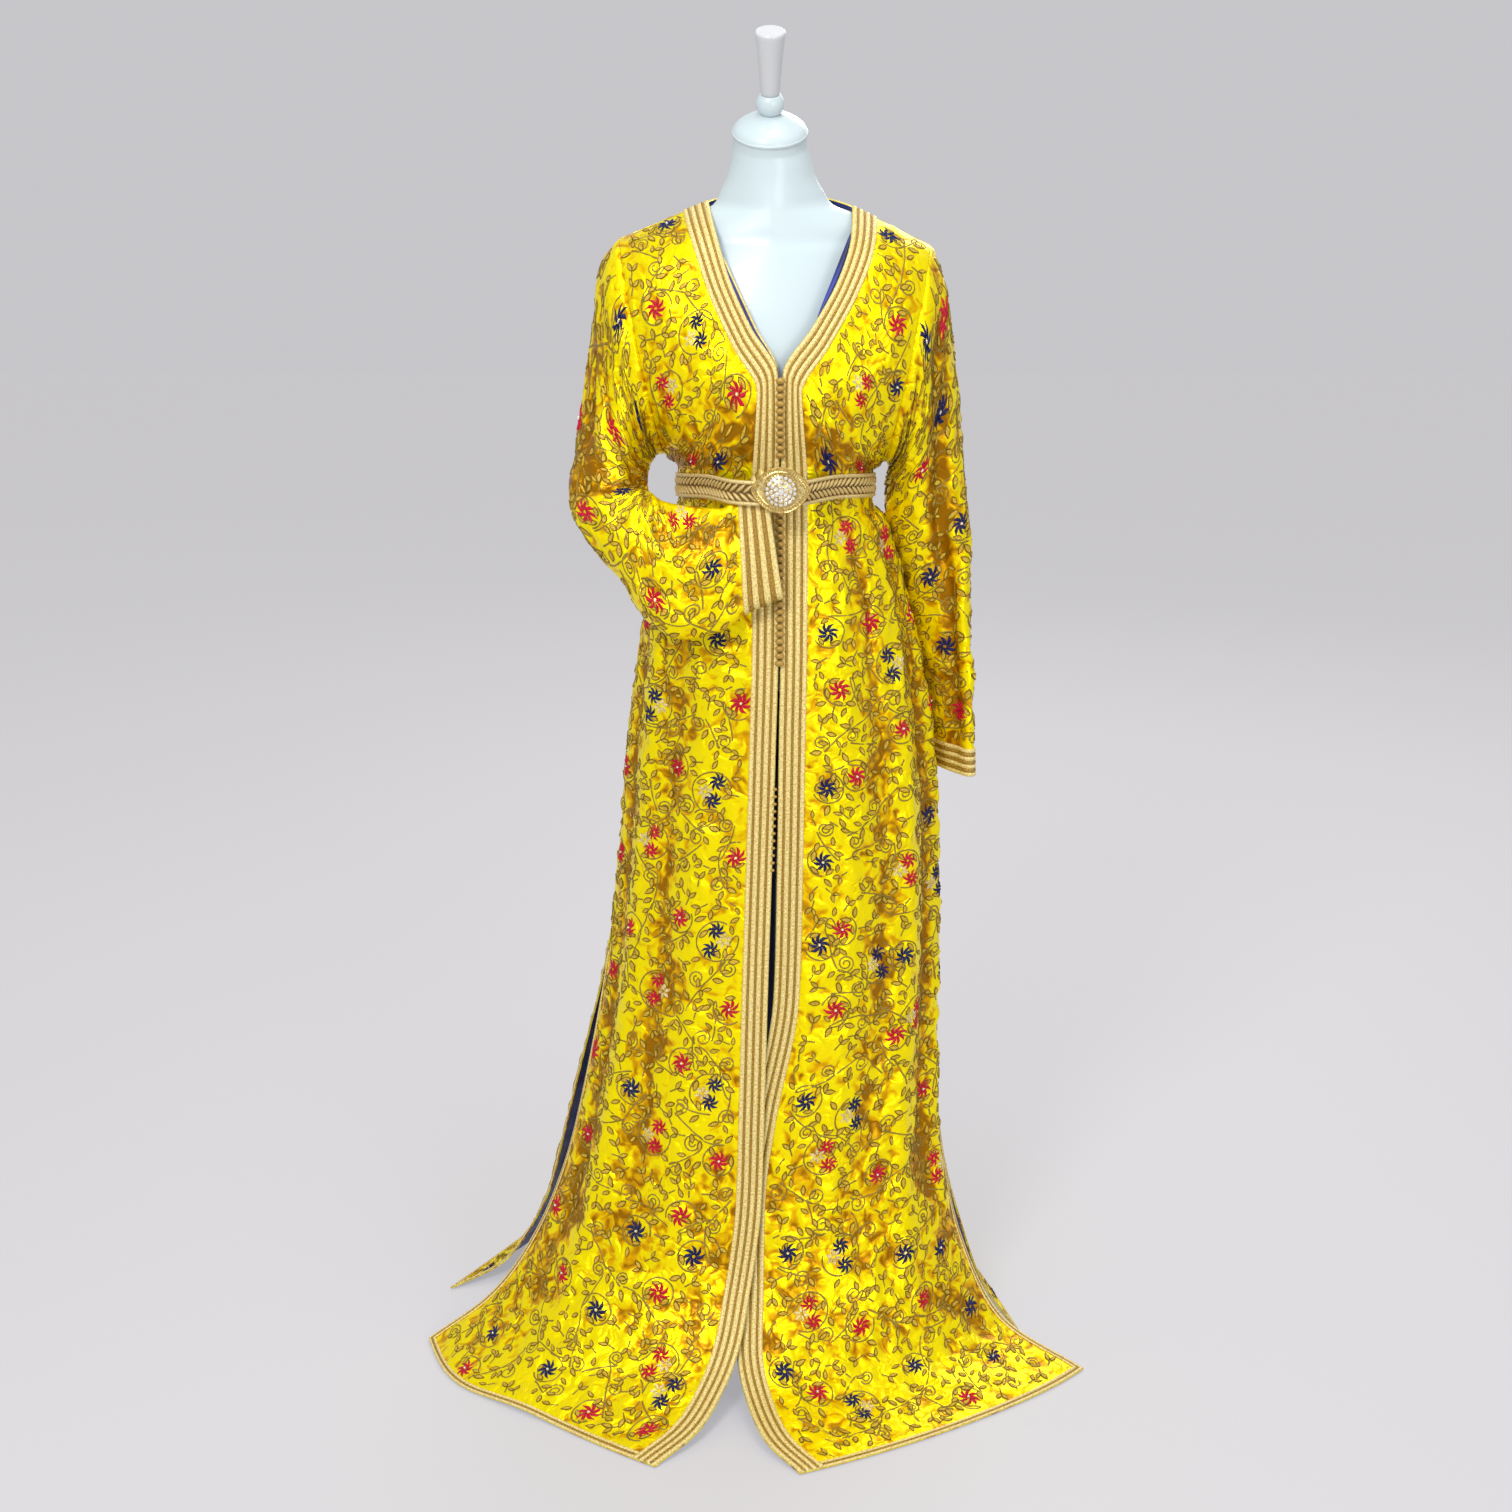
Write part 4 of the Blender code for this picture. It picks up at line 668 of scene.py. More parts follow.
def lay_sleeve(side, step, seed):
    rings = [row[0] for row in SLEEVE[side]]

    def centre_line(ring):
        return sum(sleeve_point(side, np.full_like(ring, place, float), ring) for place in (0.0, 0.5)) / 2

    rows, down = even_rows(centre_line, rings[-1], step)
    turned = side == "left"

    def point(place, ring):
        return sleeve_point(side, place, ring)

    places, across = even_places(point, rows, -0.5, 0.5, SLEEVE_COLUMNS_ROUND + 1)
    grid = point(places, rows[:, None])
    normals = grid_normals(grid, True, turned)
    heights = sleeve_fold_heights(side, places, rows[:, None])
    across = across - across[:, -1:] / 2
    cuff = np.interp(rings[-1] - CUFF_RINGS[side], rows, down)
    fade = (edge_fade(down) * edge_fade(cuff - down))[:, None]
    fine = crease_heights(SLEEVE_CREASES[side], places, rows, across, down)
    round_noise = crumple_heights(across, down[:, None] + 0 * across, seed)
    seam = smooth_step((0.5 - np.abs(places)) / 0.06)
    fine = fine + round_noise * seam
    grid = grid + normals * (heights + fine * fade + CLOTH)[:, :, None]
    front = laid[side]
    back = laid["back"]
    share = np.abs(places[0]) * 2
    back_edge = back.outer[:, 0 if side == "right" else -1]
    seam = np.where((places[0] > 0)[:, None], on_edge(front.outer[:, -1], front.rows, share),
                    on_edge(back_edge, back.rows, share))
    grid = grid + (seam - grid[0])[None] * (1 - smooth_step(down / SEAM_BLEND))[:, None, None]
    # The rise paints the satin's colour: painted shade in hollows, painted light on ridges; on the right
    # sleeve a painted shade lies above the forearm's fold.
    rise = heights + fine * fade
    if side == "right":
        above = smooth_step((rows - ELBOW_SHADE[0]) / 1.4) * smooth_step((ELBOW_SHADE[1] - rows) / 0.12)
        rise = rise - ELBOW_SHADE[2] * above[:, None]
    return Cloth(grid, rise, rows, across, down, True, turned)


def on_edge(edge, rows, at):
    """Points at row numbers along a laid panel's edge."""
    return np.stack([np.interp(at, rows, edge[:, axis]) for axis in range(3)], axis=-1)


def add_node(tree, kind, settings=None, inputs=None):
    """One shader or geometry node with its settings, input values and links."""
    node = tree.nodes.new(kind)
    for name, value in (settings or {}).items():
        setattr(node, name, value)
    for name, value in (inputs or {}).items():
        socket = node.inputs[name]
        if isinstance(value, bpy.types.NodeSocket):
            tree.links.new(value, socket)
        else:
            socket.default_value = value
    return node


def new_material(name, base, roughness, metallic=0.0, **shader_values):
    material = bpy.data.materials.new(name)
    material.use_nodes = True
    shader = material.node_tree.nodes["Principled BSDF"]
    shader.inputs["Base Color"].default_value = hex_colour(base)
    shader.inputs["Roughness"].default_value = roughness
    shader.inputs["Metallic"].default_value = metallic
    for socket, value in shader_values.items():
        shader.inputs[socket.replace("_", " ")].default_value = value
    return material


def blend_colours(material, factor, *stops):
    """Base colour that runs through stops of position and hex colour by a 0 to 1 factor."""
    tree = material.node_tree
    ramp = add_node(tree, "ShaderNodeValToRGB", inputs={"Fac": factor})
    marks = ramp.color_ramp.elements
    while len(marks) < len(stops):
        marks.new(0.5)
    for mark, (position, code) in zip(marks, stops):
        mark.position = position
        mark.color = hex_colour(code)
    tree.links.new(ramp.outputs["Color"], tree.nodes["Principled BSDF"].inputs["Base Color"])


def bump(material, height, strength, distance, under=None):
    tree = material.node_tree
    inputs = {"Height": height, "Strength": strength, "Distance": distance}
    if under is not None:
        inputs["Normal"] = under
    node = add_node(tree, "ShaderNodeBump", inputs=inputs)
    tree.links.new(node.outputs["Normal"], tree.nodes["Principled BSDF"].inputs["Normal"])
    return node.outputs["Normal"]


def satin_finish(name, settings):
    """Polyester satin: tight glossy weave, puckered in small sharp dents by its embroidery."""
    material = new_material(name, "#F2BE00", 0.33, 0.55, Specular_IOR_Level=0.15)
    tree = material.node_tree
    place = add_node(tree, "ShaderNodeTexCoord").outputs["Object"]
    dents = add_node(tree, "ShaderNodeTexNoise", inputs={
        "Vector": place, "Scale": 50.0, "Detail": 1.5, "Roughness": 0.45, "Distortion": 1.2})
    # Base colour: the satin's yellow with painted light and shade, amber in the dents' hollows and where the
    # rise runs low, lemon on their ridges and where it runs high.
    painted_light_and_shade = add_node(tree, "ShaderNodeAttribute", {"attribute_name": "rise"})
    both = add_node(tree, "ShaderNodeMath", {"operation": "MULTIPLY_ADD"}, {
        0: painted_light_and_shade.outputs["Fac"], 1: 0.15, 2: dents.outputs["Fac"]})
    blend_colours(material, both.outputs["Value"], (0.23, "#A06C00"), (0.37, "#E8AE00"), (0.50, "#FFEA00"))
    small = bump(material, dents.outputs["Fac"], settings.dent_strength, 0.0065)
    weave = add_node(tree, "ShaderNodeTexNoise", inputs={"Vector": place, "Scale": 900.0, "Detail": 1.0})
    bump(material, weave.outputs["Fac"], 0.10, 0.0004, small)
    return material


def lining_finish(name):
    """Navy lining taffeta with a fine crosswise rib."""
    material = new_material(name, "#1B2358", 0.45, Sheen_Weight=0.2)
    tree = material.node_tree
    place = add_node(tree, "ShaderNodeTexCoord").outputs["Object"]
    rib = add_node(tree, "ShaderNodeTexWave", {"bands_direction": "Z"}, {
        "Vector": place, "Scale": 260.0, "Distortion": 0.4})
    bump(material, rib.outputs["Fac"], 0.15, 0.0003)
    soft = add_node(tree, "ShaderNodeTexNoise", inputs={"Vector": place, "Scale": 18.0, "Detail": 2.0})
    blend_colours(material, soft.outputs["Fac"], (0.3, "#161D55"), (0.7, "#2C3C96"))
    return material


def thread_finish(name, dark, light, roughness, metallic, scale, depth, plies_show=0.15):
    """Twisted thread: fine slanted plies along its length under a speckle of metal yarn."""
    material = new_material(name, light, roughness, metallic)
    tree = material.node_tree
    place = add_node(tree, "ShaderNodeUVMap").outputs["UV"]
    plies = add_node(tree, "ShaderNodeTexWave", {"bands_direction": "DIAGONAL"}, {
        "Vector": place, "Scale": scale, "Distortion": 0.6, "Detail": 1.0, "Detail Scale": 2.0})
    fleck = add_node(tree, "ShaderNodeTexNoise", inputs={"Vector": place, "Scale": 420.0, "Detail": 2.0})
    mixed = add_node(tree, "ShaderNodeMath", {"operation": "MULTIPLY_ADD"}, {
        0: fleck.outputs["Fac"], 1: 1.5, 2: -0.40})
    both = add_node(tree, "ShaderNodeMath", {"operation": "MULTIPLY_ADD"}, {
        0: plies.outputs["Fac"], 1: plies_show, 2: mixed.outputs["Value"]})
    blend_colours(material, both.outputs["Value"], (0.12, dark), (0.62, light))
    bump(material, plies.outputs["Fac"], 0.5, depth)
    return material


def stitch_finish(name, dark, light, roughness, metallic=0.0):
    """Filling stitches: close parallel threads that catch the light by turns."""
    material = new_material(name, light, roughness, metallic, Specular_IOR_Level=0.2)
    tree = material.node_tree
    place = add_node(tree, "ShaderNodeTexCoord").outputs["Object"]
    rows = add_node(tree, "ShaderNodeTexNoise", inputs={
        "Vector": place, "Scale": 700.0, "Detail": 2.0, "Roughness": 0.7})
    blend_colours(material, rows.outputs["Fac"], (0.38, dark), (0.56, light))
    bump(material, rows.outputs["Fac"], 0.8, 0.0006)
    return material


def gloss_finish(name, colour, roughness):
    """Lacquered fibreglass: smooth and glossy, with the faintest orange peel."""
    material = new_material(name, colour, roughness, Coat_Weight=0.15, Coat_Roughness=0.08)
    tree = material.node_tree
    place = add_node(tree, "ShaderNodeTexCoord").outputs["Object"]
    peel = add_node(tree, "ShaderNodeTexNoise", inputs={"Vector": place, "Scale": 60.0, "Detail": 1.0})
    bump(material, peel.outputs["Fac"], 0.03, 0.001)
    return material


def steel_finish(name):
    """Brushed steel of the pole and foot."""
    material = new_material(name, "#9FA2A6", 0.32, 1.0)
    tree = material.node_tree
    place = add_node(tree, "ShaderNodeTexCoord").outputs["Object"]
    brushed = add_node(tree, "ShaderNodeTexNoise", inputs={"Vector": place, "Scale": 400.0, "Detail": 2.0})
    bump(material, brushed.outputs["Fac"], 0.08, 0.0003)
    return material


def stone_finish(name):
    """Clear foiled rhinestones: bright facets over a silver back."""
    return new_material(name, "#F4F1EA", 0.08, 0.55)


def new_object(name, data):
    made = bpy.data.objects.new(name, data)
    bpy.context.scene.collection.objects.link(made)
    return made


def mesh_piece(name, points, faces, finishes, uvs=None, face_finish=None, smooth=True):
    """One named mesh object with its finishes, and optionally a UV for each point."""
    mesh = bpy.data.meshes.new(name)
    mesh.from_pydata(np.asarray(points, float).tolist(), [], [list(map(int, face)) for face in faces])
    for finish in finishes:
        mesh.materials.append(finish)
    if face_finish is not None:
        mesh.polygons.foreach_set("material_index", np.asarray(face_finish, np.int32))
    if uvs is not None:
        layer = mesh.uv_layers.new(name="cloth")
        corners = np.empty(len(mesh.loops), np.int32)
        mesh.loops.foreach_get("vertex_index", corners)
        layer.data.foreach_set("uv", np.asarray(uvs, np.float32)[corners].ravel())
    if smooth:
        mesh.shade_smooth()
    mesh.update()
    return new_object(name, mesh)


def ring_faces(rings, size, joined=False):
    """Faces between rings of points, each ring closed on itself; joined, the last meets the first."""
    faces = []
    for r in range(rings if joined else rings - 1):
        upper, lower = r * size, (r + 1) % rings * size
        for k in range(size):
            n = (k + 1) % size
            faces.append((upper + k, upper + n, lower + n, lower + k))
    return faces


def ends_of(rings, size):
    """The end faces of a run of rings."""
    return list(range(size)), [(rings - 1) * size + k for k in range(size)]


def keep_on(piece, replaced=()):
    """The piece moves with the one body and stands for its CAD nodes, which are hidden."""
    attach(piece, "root")
    for node in replaced:
        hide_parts(node)
    return piece


def shell_of(name, cloth, outside, inside):
    """Thin closed shell of a laid cloth: its face, its lining and its folded edges."""
    rows, columns = cloth.outer.shape[:2]
    kept = columns - 1 if cloth.closed else columns
    inner = cloth.outer - cloth.normals * SHELL
    points = np.concatenate((cloth.outer[:, :kept].reshape(-1, 3), inner[:, :kept].reshape(-1, 3)))
    points[:, 2] = np.maximum(points[:, 2], 0.0004)
    uvs = np.stack([cloth.across[:, :kept], np.broadcast_to(cloth.down[:, None], (rows, kept))], -1)
    uvs = np.concatenate([uvs.reshape(-1, 2)] * 2)
    layer = rows * kept
    r, c = np.mgrid[0:rows - 1, 0:columns - 1]
    d = (c + 1) % kept
    face = np.stack([r * kept + c, (r + 1) * kept + c, (r + 1) * kept + d, r * kept + d], -1).reshape(-1, 4)
    if cloth.turned:
        face = face[:, ::-1]
    faces = face.tolist() + (face[:, ::-1] + layer).tolist()
    kinds = [0] * len(face) + [1] * len(face)
    top = [c for c in range(kept)]
    bottom = [(rows - 1) * kept + c for c in range(kept)]
    if cloth.closed:
        loops = [top + top[:1], (bottom + bottom[:1])[::-1]]
    else:
        right = [r * kept + kept - 1 for r in range(rows)]
        left = [r * kept for r in range(rows)]
        loops = [top + right[1:] + bottom[::-1][1:] + left[::-1][1:]]
    for loop in loops:
        for i, j in zip(loop, loop[1:]):
            side = [i, j, j + layer, i + layer]
            faces.append(side[::-1] if cloth.turned else side)
            kinds.append(0)
    piece = mesh_piece(name, points, faces, [outside, inside], uvs, kinds)
    # The rise attribute carries painted shade and painted light into the satin's colour: darker in hollows
    # and shaded rows, lighter on ridges.
    rise = np.clip(cloth.rise[:, :kept] / RISE_SHOWN, -2, 1).ravel()
    painted_light_and_shade = piece.data.attributes.new("rise", "FLOAT", "POINT")
    painted_light_and_shade.data.foreach_set("value", np.concatenate((rise, rise)))
    return piece


CORD_SECTION = ((0.0, 0.10), (0.18, 0.80), (0.5, 1.0), (0.82, 0.80))


def corded_band(name, cloth, lines_laid, base, rise, node, closed=False):
    """Cords laid side by side on the cloth, cream and bronze by turns, along the lines between them."""
    u, v = lines_laid
    steps, lines = u.shape
    shares = np.concatenate([[k + t for t, _ in CORD_SECTION] for k in range(lines - 1)] + [[lines - 1]])
    heights = np.array([h for _ in range(lines - 1) for _, h in CORD_SECTION] + [CORD_SECTION[0][1]])
    low = np.minimum(shares.astype(int), lines - 2)
    part = shares - low
    fine_u = u[:, low] * (1 - part) + u[:, low + 1] * part
    fine_v = v[:, low] * (1 - part) + v[:, low + 1] * part
    top = cloth.at(fine_u, fine_v, base + rise * heights[None, :])
    under = cloth.at(u[:, [0, -1]], v[:, [0, -1]], SEAM_GAP)
    count = len(shares)
    width = count + 2
    points = np.concatenate((under[:, :1], top, under[:, 1:]), axis=1)
    points[:, :, 2] = np.maximum(points[:, :, 2], 0.0003)
    run = run_along(top[:, count // 2])
    spread = run_along(top[steps // 2])
    spread = np.concatenate(([0.0], spread, spread[-1:]))
    uvs = np.stack(np.broadcast_arrays(spread[None, :], run[:, None]), -1).reshape(-1, 2)
    faces = []
    marks = []
    per_cord = len(CORD_SECTION)
    for s in range(steps if closed else steps - 1):
        t = (s + 1) % steps
        for c in range(width):
            d = (c + 1) % width
            faces.append((s * width + c, t * width + c, t * width + d, s * width + d))
            cord = min(max((c - 1) // per_cord, 0), lines - 2)
            marks.append(cord % 2)
    if not closed:
        first, last = ends_of(steps, width)
        faces += [first, last[::-1]]
        marks += [0, 0]
    cords = [finishes["cream_cord"], finishes["bronze_cord"]]
    piece = mesh_piece(name, points.reshape(-1, 3), faces, cords, uvs, marks)
    outwards(piece)
    keep_on(piece, [node])


def outwards(piece):
    work = bmesh.new()
    work.from_mesh(piece.data)
    bmesh.ops.recalc_face_normals(work, faces=work.faces)
    work.to_mesh(piece.data)
    work.free()


# Width of a bronze cord beside a cream one
NARROW_CORD = 0.62


def cord_offsets(cords):
    """Lines between the cords of a band: wide cords by turns with narrow ones."""
    widths = [1.0 if k % 2 == 0 else NARROW_CORD for k in range(cords)]
    lines = np.concatenate(([0.0], np.cumsum(widths)))
    return 0.0003 + lines / lines[-1] * (BAND_WIDTH - 0.0003)


def front_band_lines(cloth, cords):
    v = np.linspace(0.0, cloth.down[-1], int(cloth.down[-1] / 0.005))
    first, _ = cloth.edges(v)
    offsets = cord_offsets(cords)
    return first[:, None] + offsets[None, :], np.repeat(v[:, None], cords + 1, axis=1)


def neck_band_lines(cloth, cords):
    """Lines round the back of the neck: straight across, then round the neck's corners to the shoulders."""
    half = np.interp(NECK_PLACE, np.linspace(-1, 1, 201), neck_lengths())
    offsets = cord_offsets(cords)
    middle = np.linspace(-half, half, 41)
    fan = np.linspace(np.pi / 2, 0, 9)[:-1][::-1]
    u = [[-half - d * math.cos(a) for d in offsets] for a in fan]
    v = [[d * math.sin(a) for d in offsets] for a in fan]
    for x in middle:
        u.append([x] * len(offsets))
        v.append(list(offsets))
    for a in fan[::-1]:
        u.append([half + d * math.cos(a) for d in offsets])
        v.append([d * math.sin(a) for d in offsets])
    return np.array(u), np.array(v)


def neck_lengths():
    """Metres across the back's first row at even places."""
    places = np.linspace(-1, 1, 201)
    runs = run_along(back_point(places, np.zeros_like(places)))
    return runs - runs[-1] / 2


def edge_lines(cloth, sides, inner_u, cords):
    """Lines down the slit's edge, round the corner and along the hem; both slits where there are two."""
    offsets = np.linspace(0.0002, EDGE_BAND_WIDTH, cords + 1)
    slit = cloth.down_at_row(SLIT_ROW)
    bottom = cloth.down[-1]
    u, v = [], []
    for t in np.linspace(0, 1, 150):
        level = slit + t * (bottom - offsets - slit)
        u.append(cloth.edges(level)[1] - offsets)
        v.append(level)
    corner = u[-1]
    end = -corner if sides == 2 else np.full_like(corner, inner_u)
    for t in np.linspace(0, 1, 130)[1:]:
        u.append(corner * (1 - t) + end * t)
        v.append(bottom - offsets)
    if sides == 2:
        for t in np.linspace(1, 0, 150)[1:]:
            level = slit + t * (bottom - offsets - slit)
            u.append(cloth.edges(level)[0] + offsets)
            v.append(level)
    return np.array(u), np.array(v)


def cuff_lines(cloth, side, cords):
    last = SLEEVE[side][-1][0]
    start = cloth.down_at_row(last - CUFF_RINGS[side])
    v = np.linspace(start, cloth.down[-1] - 0.0002, cords + 1)
    turns = np.linspace(-0.5, 0.5, 97)[:-1]
    first, end = cloth.edges(v)
    u = turns[:, None] * (end - first)[None, :]
    return u, np.repeat(v[None, :], len(turns), axis=0)


class Stitching:
    """What is embroidered on one panel: vines as lines, and stamped leaves and flowers."""

    def __init__(self, cloth, seed, limits):
        self.cloth = cloth
        self.random = random.Random(seed)
        self.limits = limits
        self.sites = []
        self.strokes = []
        self.stamps = []
        self.taken = []

    def inside(self, u, v, margin=0.006):
        top, bottom, near, far = self.limits(v)
        return top + margin < v < bottom - margin and near + margin < u < far - margin

    def free(self, u, v, reach):
        if not self.taken:
            return True
        taken = np.array(self.taken)
        return bool((np.hypot(taken[:, 0] - u, taken[:, 1] - v) > reach).all())

    def stamp(self, kind, u, v, turn, size):
        self.stamps.append((kind, u, v, turn, size))
        self.taken.append((u, v))

    def stroke(self, line):
        inside = [self.inside(u, v, 0.003) for u, v in line]
        run = []
        for point, kept in zip(line, inside):
            if kept:
                run.append(point)
            else:
                if len(run) > 2:
                    self.strokes.append(run)
                run = []
        if len(run) > 2:
            self.strokes.append(run)
        self.taken += [point for point, kept in zip(line[::2], inside[::2]) if kept]


LEAF, CRIMSON, NAVY, BEAD, PALE_LEAF = range(5)
LEAF_LENGTH = 0.0150
LEAF_WIDTH = 0.0074
VINE_WIDTH = 0.0023
VINE_RISE = 0.0008


def add_flower(work, u, v, colour, double):
    """A pinwheel flower, or two of them one above the other beside a cluster of pale leaves."""
    turn = work.random.uniform(0, math.tau)
    if not double:
        work.stamp(colour, u, v, turn, work.random.uniform(0.96, 1.12))
        if work.random.random() < 0.6:
            work.stamp(BEAD, u, v, 0.0, 1.0)
        work.sites.append((u, v, 0.021, True))
        return
    for step in (-0.0118, 0.0118):
        work.stamp(colour, u + step * 0.25, v + step, turn + step * 40, 0.88)
    side = work.random.choice((-1, 1))
    for k in range(6):
        angle = math.tau * k / 6 + 0.3
        x = u + side * 0.0125 + 0.0062 * math.cos(angle)
        y = v + 0.0062 * math.sin(angle)
        work.stamp(PALE_LEAF, x, y, angle, 0.62)
    work.sites.append((u + side * 0.004, v, 0.027, True))


def scatter(work, spacing, tries, add):
    """Fill the free parts of a panel, never nearer than the spacing to a site."""
    bottom = work.cloth.down[-1]
    for _ in range(tries):
        v = work.random.uniform(0, bottom)
        first, last = work.cloth.edges(v)
        u = work.random.uniform(first, last)
        if not work.inside(u, v, 0.012):
            continue
        if all(math.hypot(u - a, v - b) > spacing for a, b, _, _ in work.sites):
            add(work, u, v)


def spiral(u, v, radius, inner, start, turns, way):
    """Points from a ring round a centre winding inwards."""
    steps = max(8, int(abs(turns) * math.tau * (radius + inner) / 2 / 0.0036))
    line = []
    for k in range(steps + 1):
        t = k / steps
        reach = radius + (inner - radius) * t ** 0.9
        angle = start + way * math.tau * turns * t
        line.append((u + reach * math.cos(angle), v + reach * math.sin(angle)))
    return line


def stem(a, b, a_way, b_way):
    """Curved stem from ring a to ring b, leaving and joining both along the ring."""
    (ua, va, ra, _), (ub, vb, rb, _) = a, b
    head = math.atan2(vb - va, ub - ua)
    leave = head + a_way * 1.15
    join = head + math.pi - b_way * 1.15
    p0 = np.array([ua + ra * math.cos(leave), va + ra * math.sin(leave)])
    p3 = np.array([ub + rb * math.cos(join), vb + rb * math.sin(join)])
    length = np.linalg.norm(p3 - p0)
    out = leave - a_way * math.pi / 2
    into = join - b_way * math.pi / 2
    p1 = p0 + np.array([math.cos(out), math.sin(out)]) * length * 0.42
    p2 = p3 + np.array([math.cos(into), math.sin(into)]) * length * 0.42
    count = max(4, int(length / 0.0036))
    line = []
    for k in range(count + 1):
        t = k / count
        p = p0 * (1 - t) ** 3 + p1 * 3 * t * (1 - t) ** 2 + p2 * 3 * t * t * (1 - t) + p3 * t ** 3
        line.append((float(p[0]), float(p[1])))
    return line, join


def leaves_along(work, line, gap):
    """Leaves on both sides of a stem, by turns single and in pairs."""
    travelled = gap * 0.5
    for (ua, va), (ub, vb) in zip(line, line[1:]):
        travelled += math.hypot(ub - ua, vb - va)
        if travelled < gap:
            continue
        travelled = 0.0
        head = math.atan2(vb - va, ub - ua)
        sides = work.random.choice(((1,), (-1,), (1, -1), (1, -1)))
        for side in sides:
            turn = head + side * work.random.uniform(0.65, 1.05)
            size = work.random.uniform(0.8, 1.08)
            u = ub + math.cos(turn) * LEAF_LENGTH * 0.72
            v = vb + math.sin(turn) * LEAF_LENGTH * 0.72
            clear = all(math.hypot(u - a, v - b) > 0.0068 for _, a, b, _, _ in work.stamps)
            if clear and work.inside(u, v):
                work.stamp(LEAF, u, v, turn, size)


def join_sites(work, longest):
    """Grow the vine from site to site, always by the shortest open link, and wind it round each one."""
    sites = work.sites
    if not sites:
        return
    spots = np.array([(u, v) for u, v, _, _ in sites])
    away = np.hypot(spots[:, None, 0] - spots[None, :, 0], spots[:, None, 1] - spots[None, :, 1])
    joined = np.zeros(len(sites), bool)
    nearest = np.full(len(sites), np.inf)
    parent = np.full(len(sites), -1)
    way = [work.random.choice((-1, 1)) for _ in sites]
    for _ in sites:
        open_links = np.where(joined, np.inf, nearest)
        k = int(np.argmin(open_links))
        if not np.isfinite(open_links[k]):
            k = int(np.argmin(joined))
        joined[k] = True
        u, v, radius, flower = sites[k]
        start = work.random.uniform(0, math.tau)
        if parent[k] >= 0 and away[parent[k], k] < longest:
            way[k] = -way[parent[k]] if work.random.random() < 0.7 else way[parent[k]]
            line, start = stem(sites[parent[k]], sites[k], way[parent[k]], way[k])
            work.stroke(line)
            leaves_along(work, line, 0.013)
        if flower:
            ring = spiral(u, v, radius, radius * 0.86, start, work.random.uniform(0.62, 0.86), way[k])
            work.stroke(ring)
            leaves_along(work, ring, 0.022)
        else:
            work.stroke(spiral(u, v, radius, 0.0026, start, work.random.uniform(1.5, 1.9), way[k]))
        closer = away[k] < nearest
        nearest = np.where(closer, away[k], nearest)
        parent = np.where(closer, k, parent)


def add_rosette(work, u, v):
    work.sites.append((u, v, work.random.uniform(0.0095, 0.0125), False))
    work.taken.append((u, v))


def fill_leaves(work, tries):
    """Small sprigs of leaves in what is still bare."""
    bottom = work.cloth.down[-1]
    for _ in range(tries):
        v = work.random.uniform(0, bottom)
        first, last = work.cloth.edges(v)
        u = work.random.uniform(first, last)
        if not work.inside(u, v, 0.008) or not work.free(u, v, 0.0105):
            continue
        turn = work.random.uniform(0, math.tau)
        for side in (-1, 1):
            lean = turn + side * 0.55
            x = u + math.cos(lean) * 0.0068
            y = v + math.sin(lean) * 0.0068
            if work.inside(x, y):
                work.stamp(LEAF, x, y, lean, work.random.uniform(0.72, 0.95))
        back = [(u - math.cos(turn) * 0.003 * k, v - math.sin(turn) * 0.003 * k) for k in range(4)]
        work.stroke(back)


def leaf_stamp(name, rim, fill):
    """A small leaf: an outlined rim and a lower filled middle, lying in the ground plane."""
    outline = []
    for k in range(7):
        t = k / 6
        half = LEAF_WIDTH / 2 * math.sin(math.pi * t) ** 0.8 * (1.15 - 0.35 * t)
        outline.append((LEAF_LENGTH * (t - 0.5), half))
    loop = outline + [(x, -y) for x, y in outline[-2:0:-1]]
    size = len(loop)
    points = [(x, y, -0.0002) for x, y in loop]
    points += [(x * 0.90, y * 0.82, 0.0009) for x, y in loop]
    points += [(x * 0.74, y * 0.58, 0.0006) for x, y in loop]
    faces = ring_faces(3, size) + [ends_of(3, size)[1]]
    return mesh_piece(name, points, faces, [rim, fill], face_finish=[0] * 2 * size + [1], smooth=False)


# Rings of a petal from the flower's middle out: reach, half width and rise
PETAL = in_metres((0, 1, 2), ((1.8, 0.8, 0.7), (5.8, 2.1, 1.4), (9.8, 2, 1.2), (13.4, 0.4, 0.3)))


def flower_stamp(name, thread):
    """Eight plump swept petals that turn like a pinwheel."""
    points = []
    faces = []
    for k in range(8):
        base = len(points)
        for reach, half, rise in PETAL:
            sweep = math.tau * k / 8 + 0.6 * (reach / 0.0130) ** 1.6
            for side in (-1, 0, 1):
                x = reach * math.cos(sweep) - side * half * math.sin(sweep)
                y = reach * math.sin(sweep) + side * half * math.cos(sweep)
                points.append((x, y, rise if side == 0 else 0.0))
        for step in range(len(PETAL) - 1):
            for side in (0, 1):
                a = base + step * 3 + side
                faces.append((a, a + 3, a + 4, a + 1))
    return mesh_piece(name, points, faces, [thread], smooth=False)


def bead_stamp(name, finish, radius, rise):
    mesh = bpy.data.meshes.new(name)
    work = bmesh.new()
    bmesh.ops.create_icosphere(work, subdivisions=1, radius=radius)
    bmesh.ops.translate(work, verts=work.verts, vec=(0, 0, rise))
    work.to_mesh(mesh)
    work.free()
    mesh.materials.append(finish)
    return new_object(name, mesh)


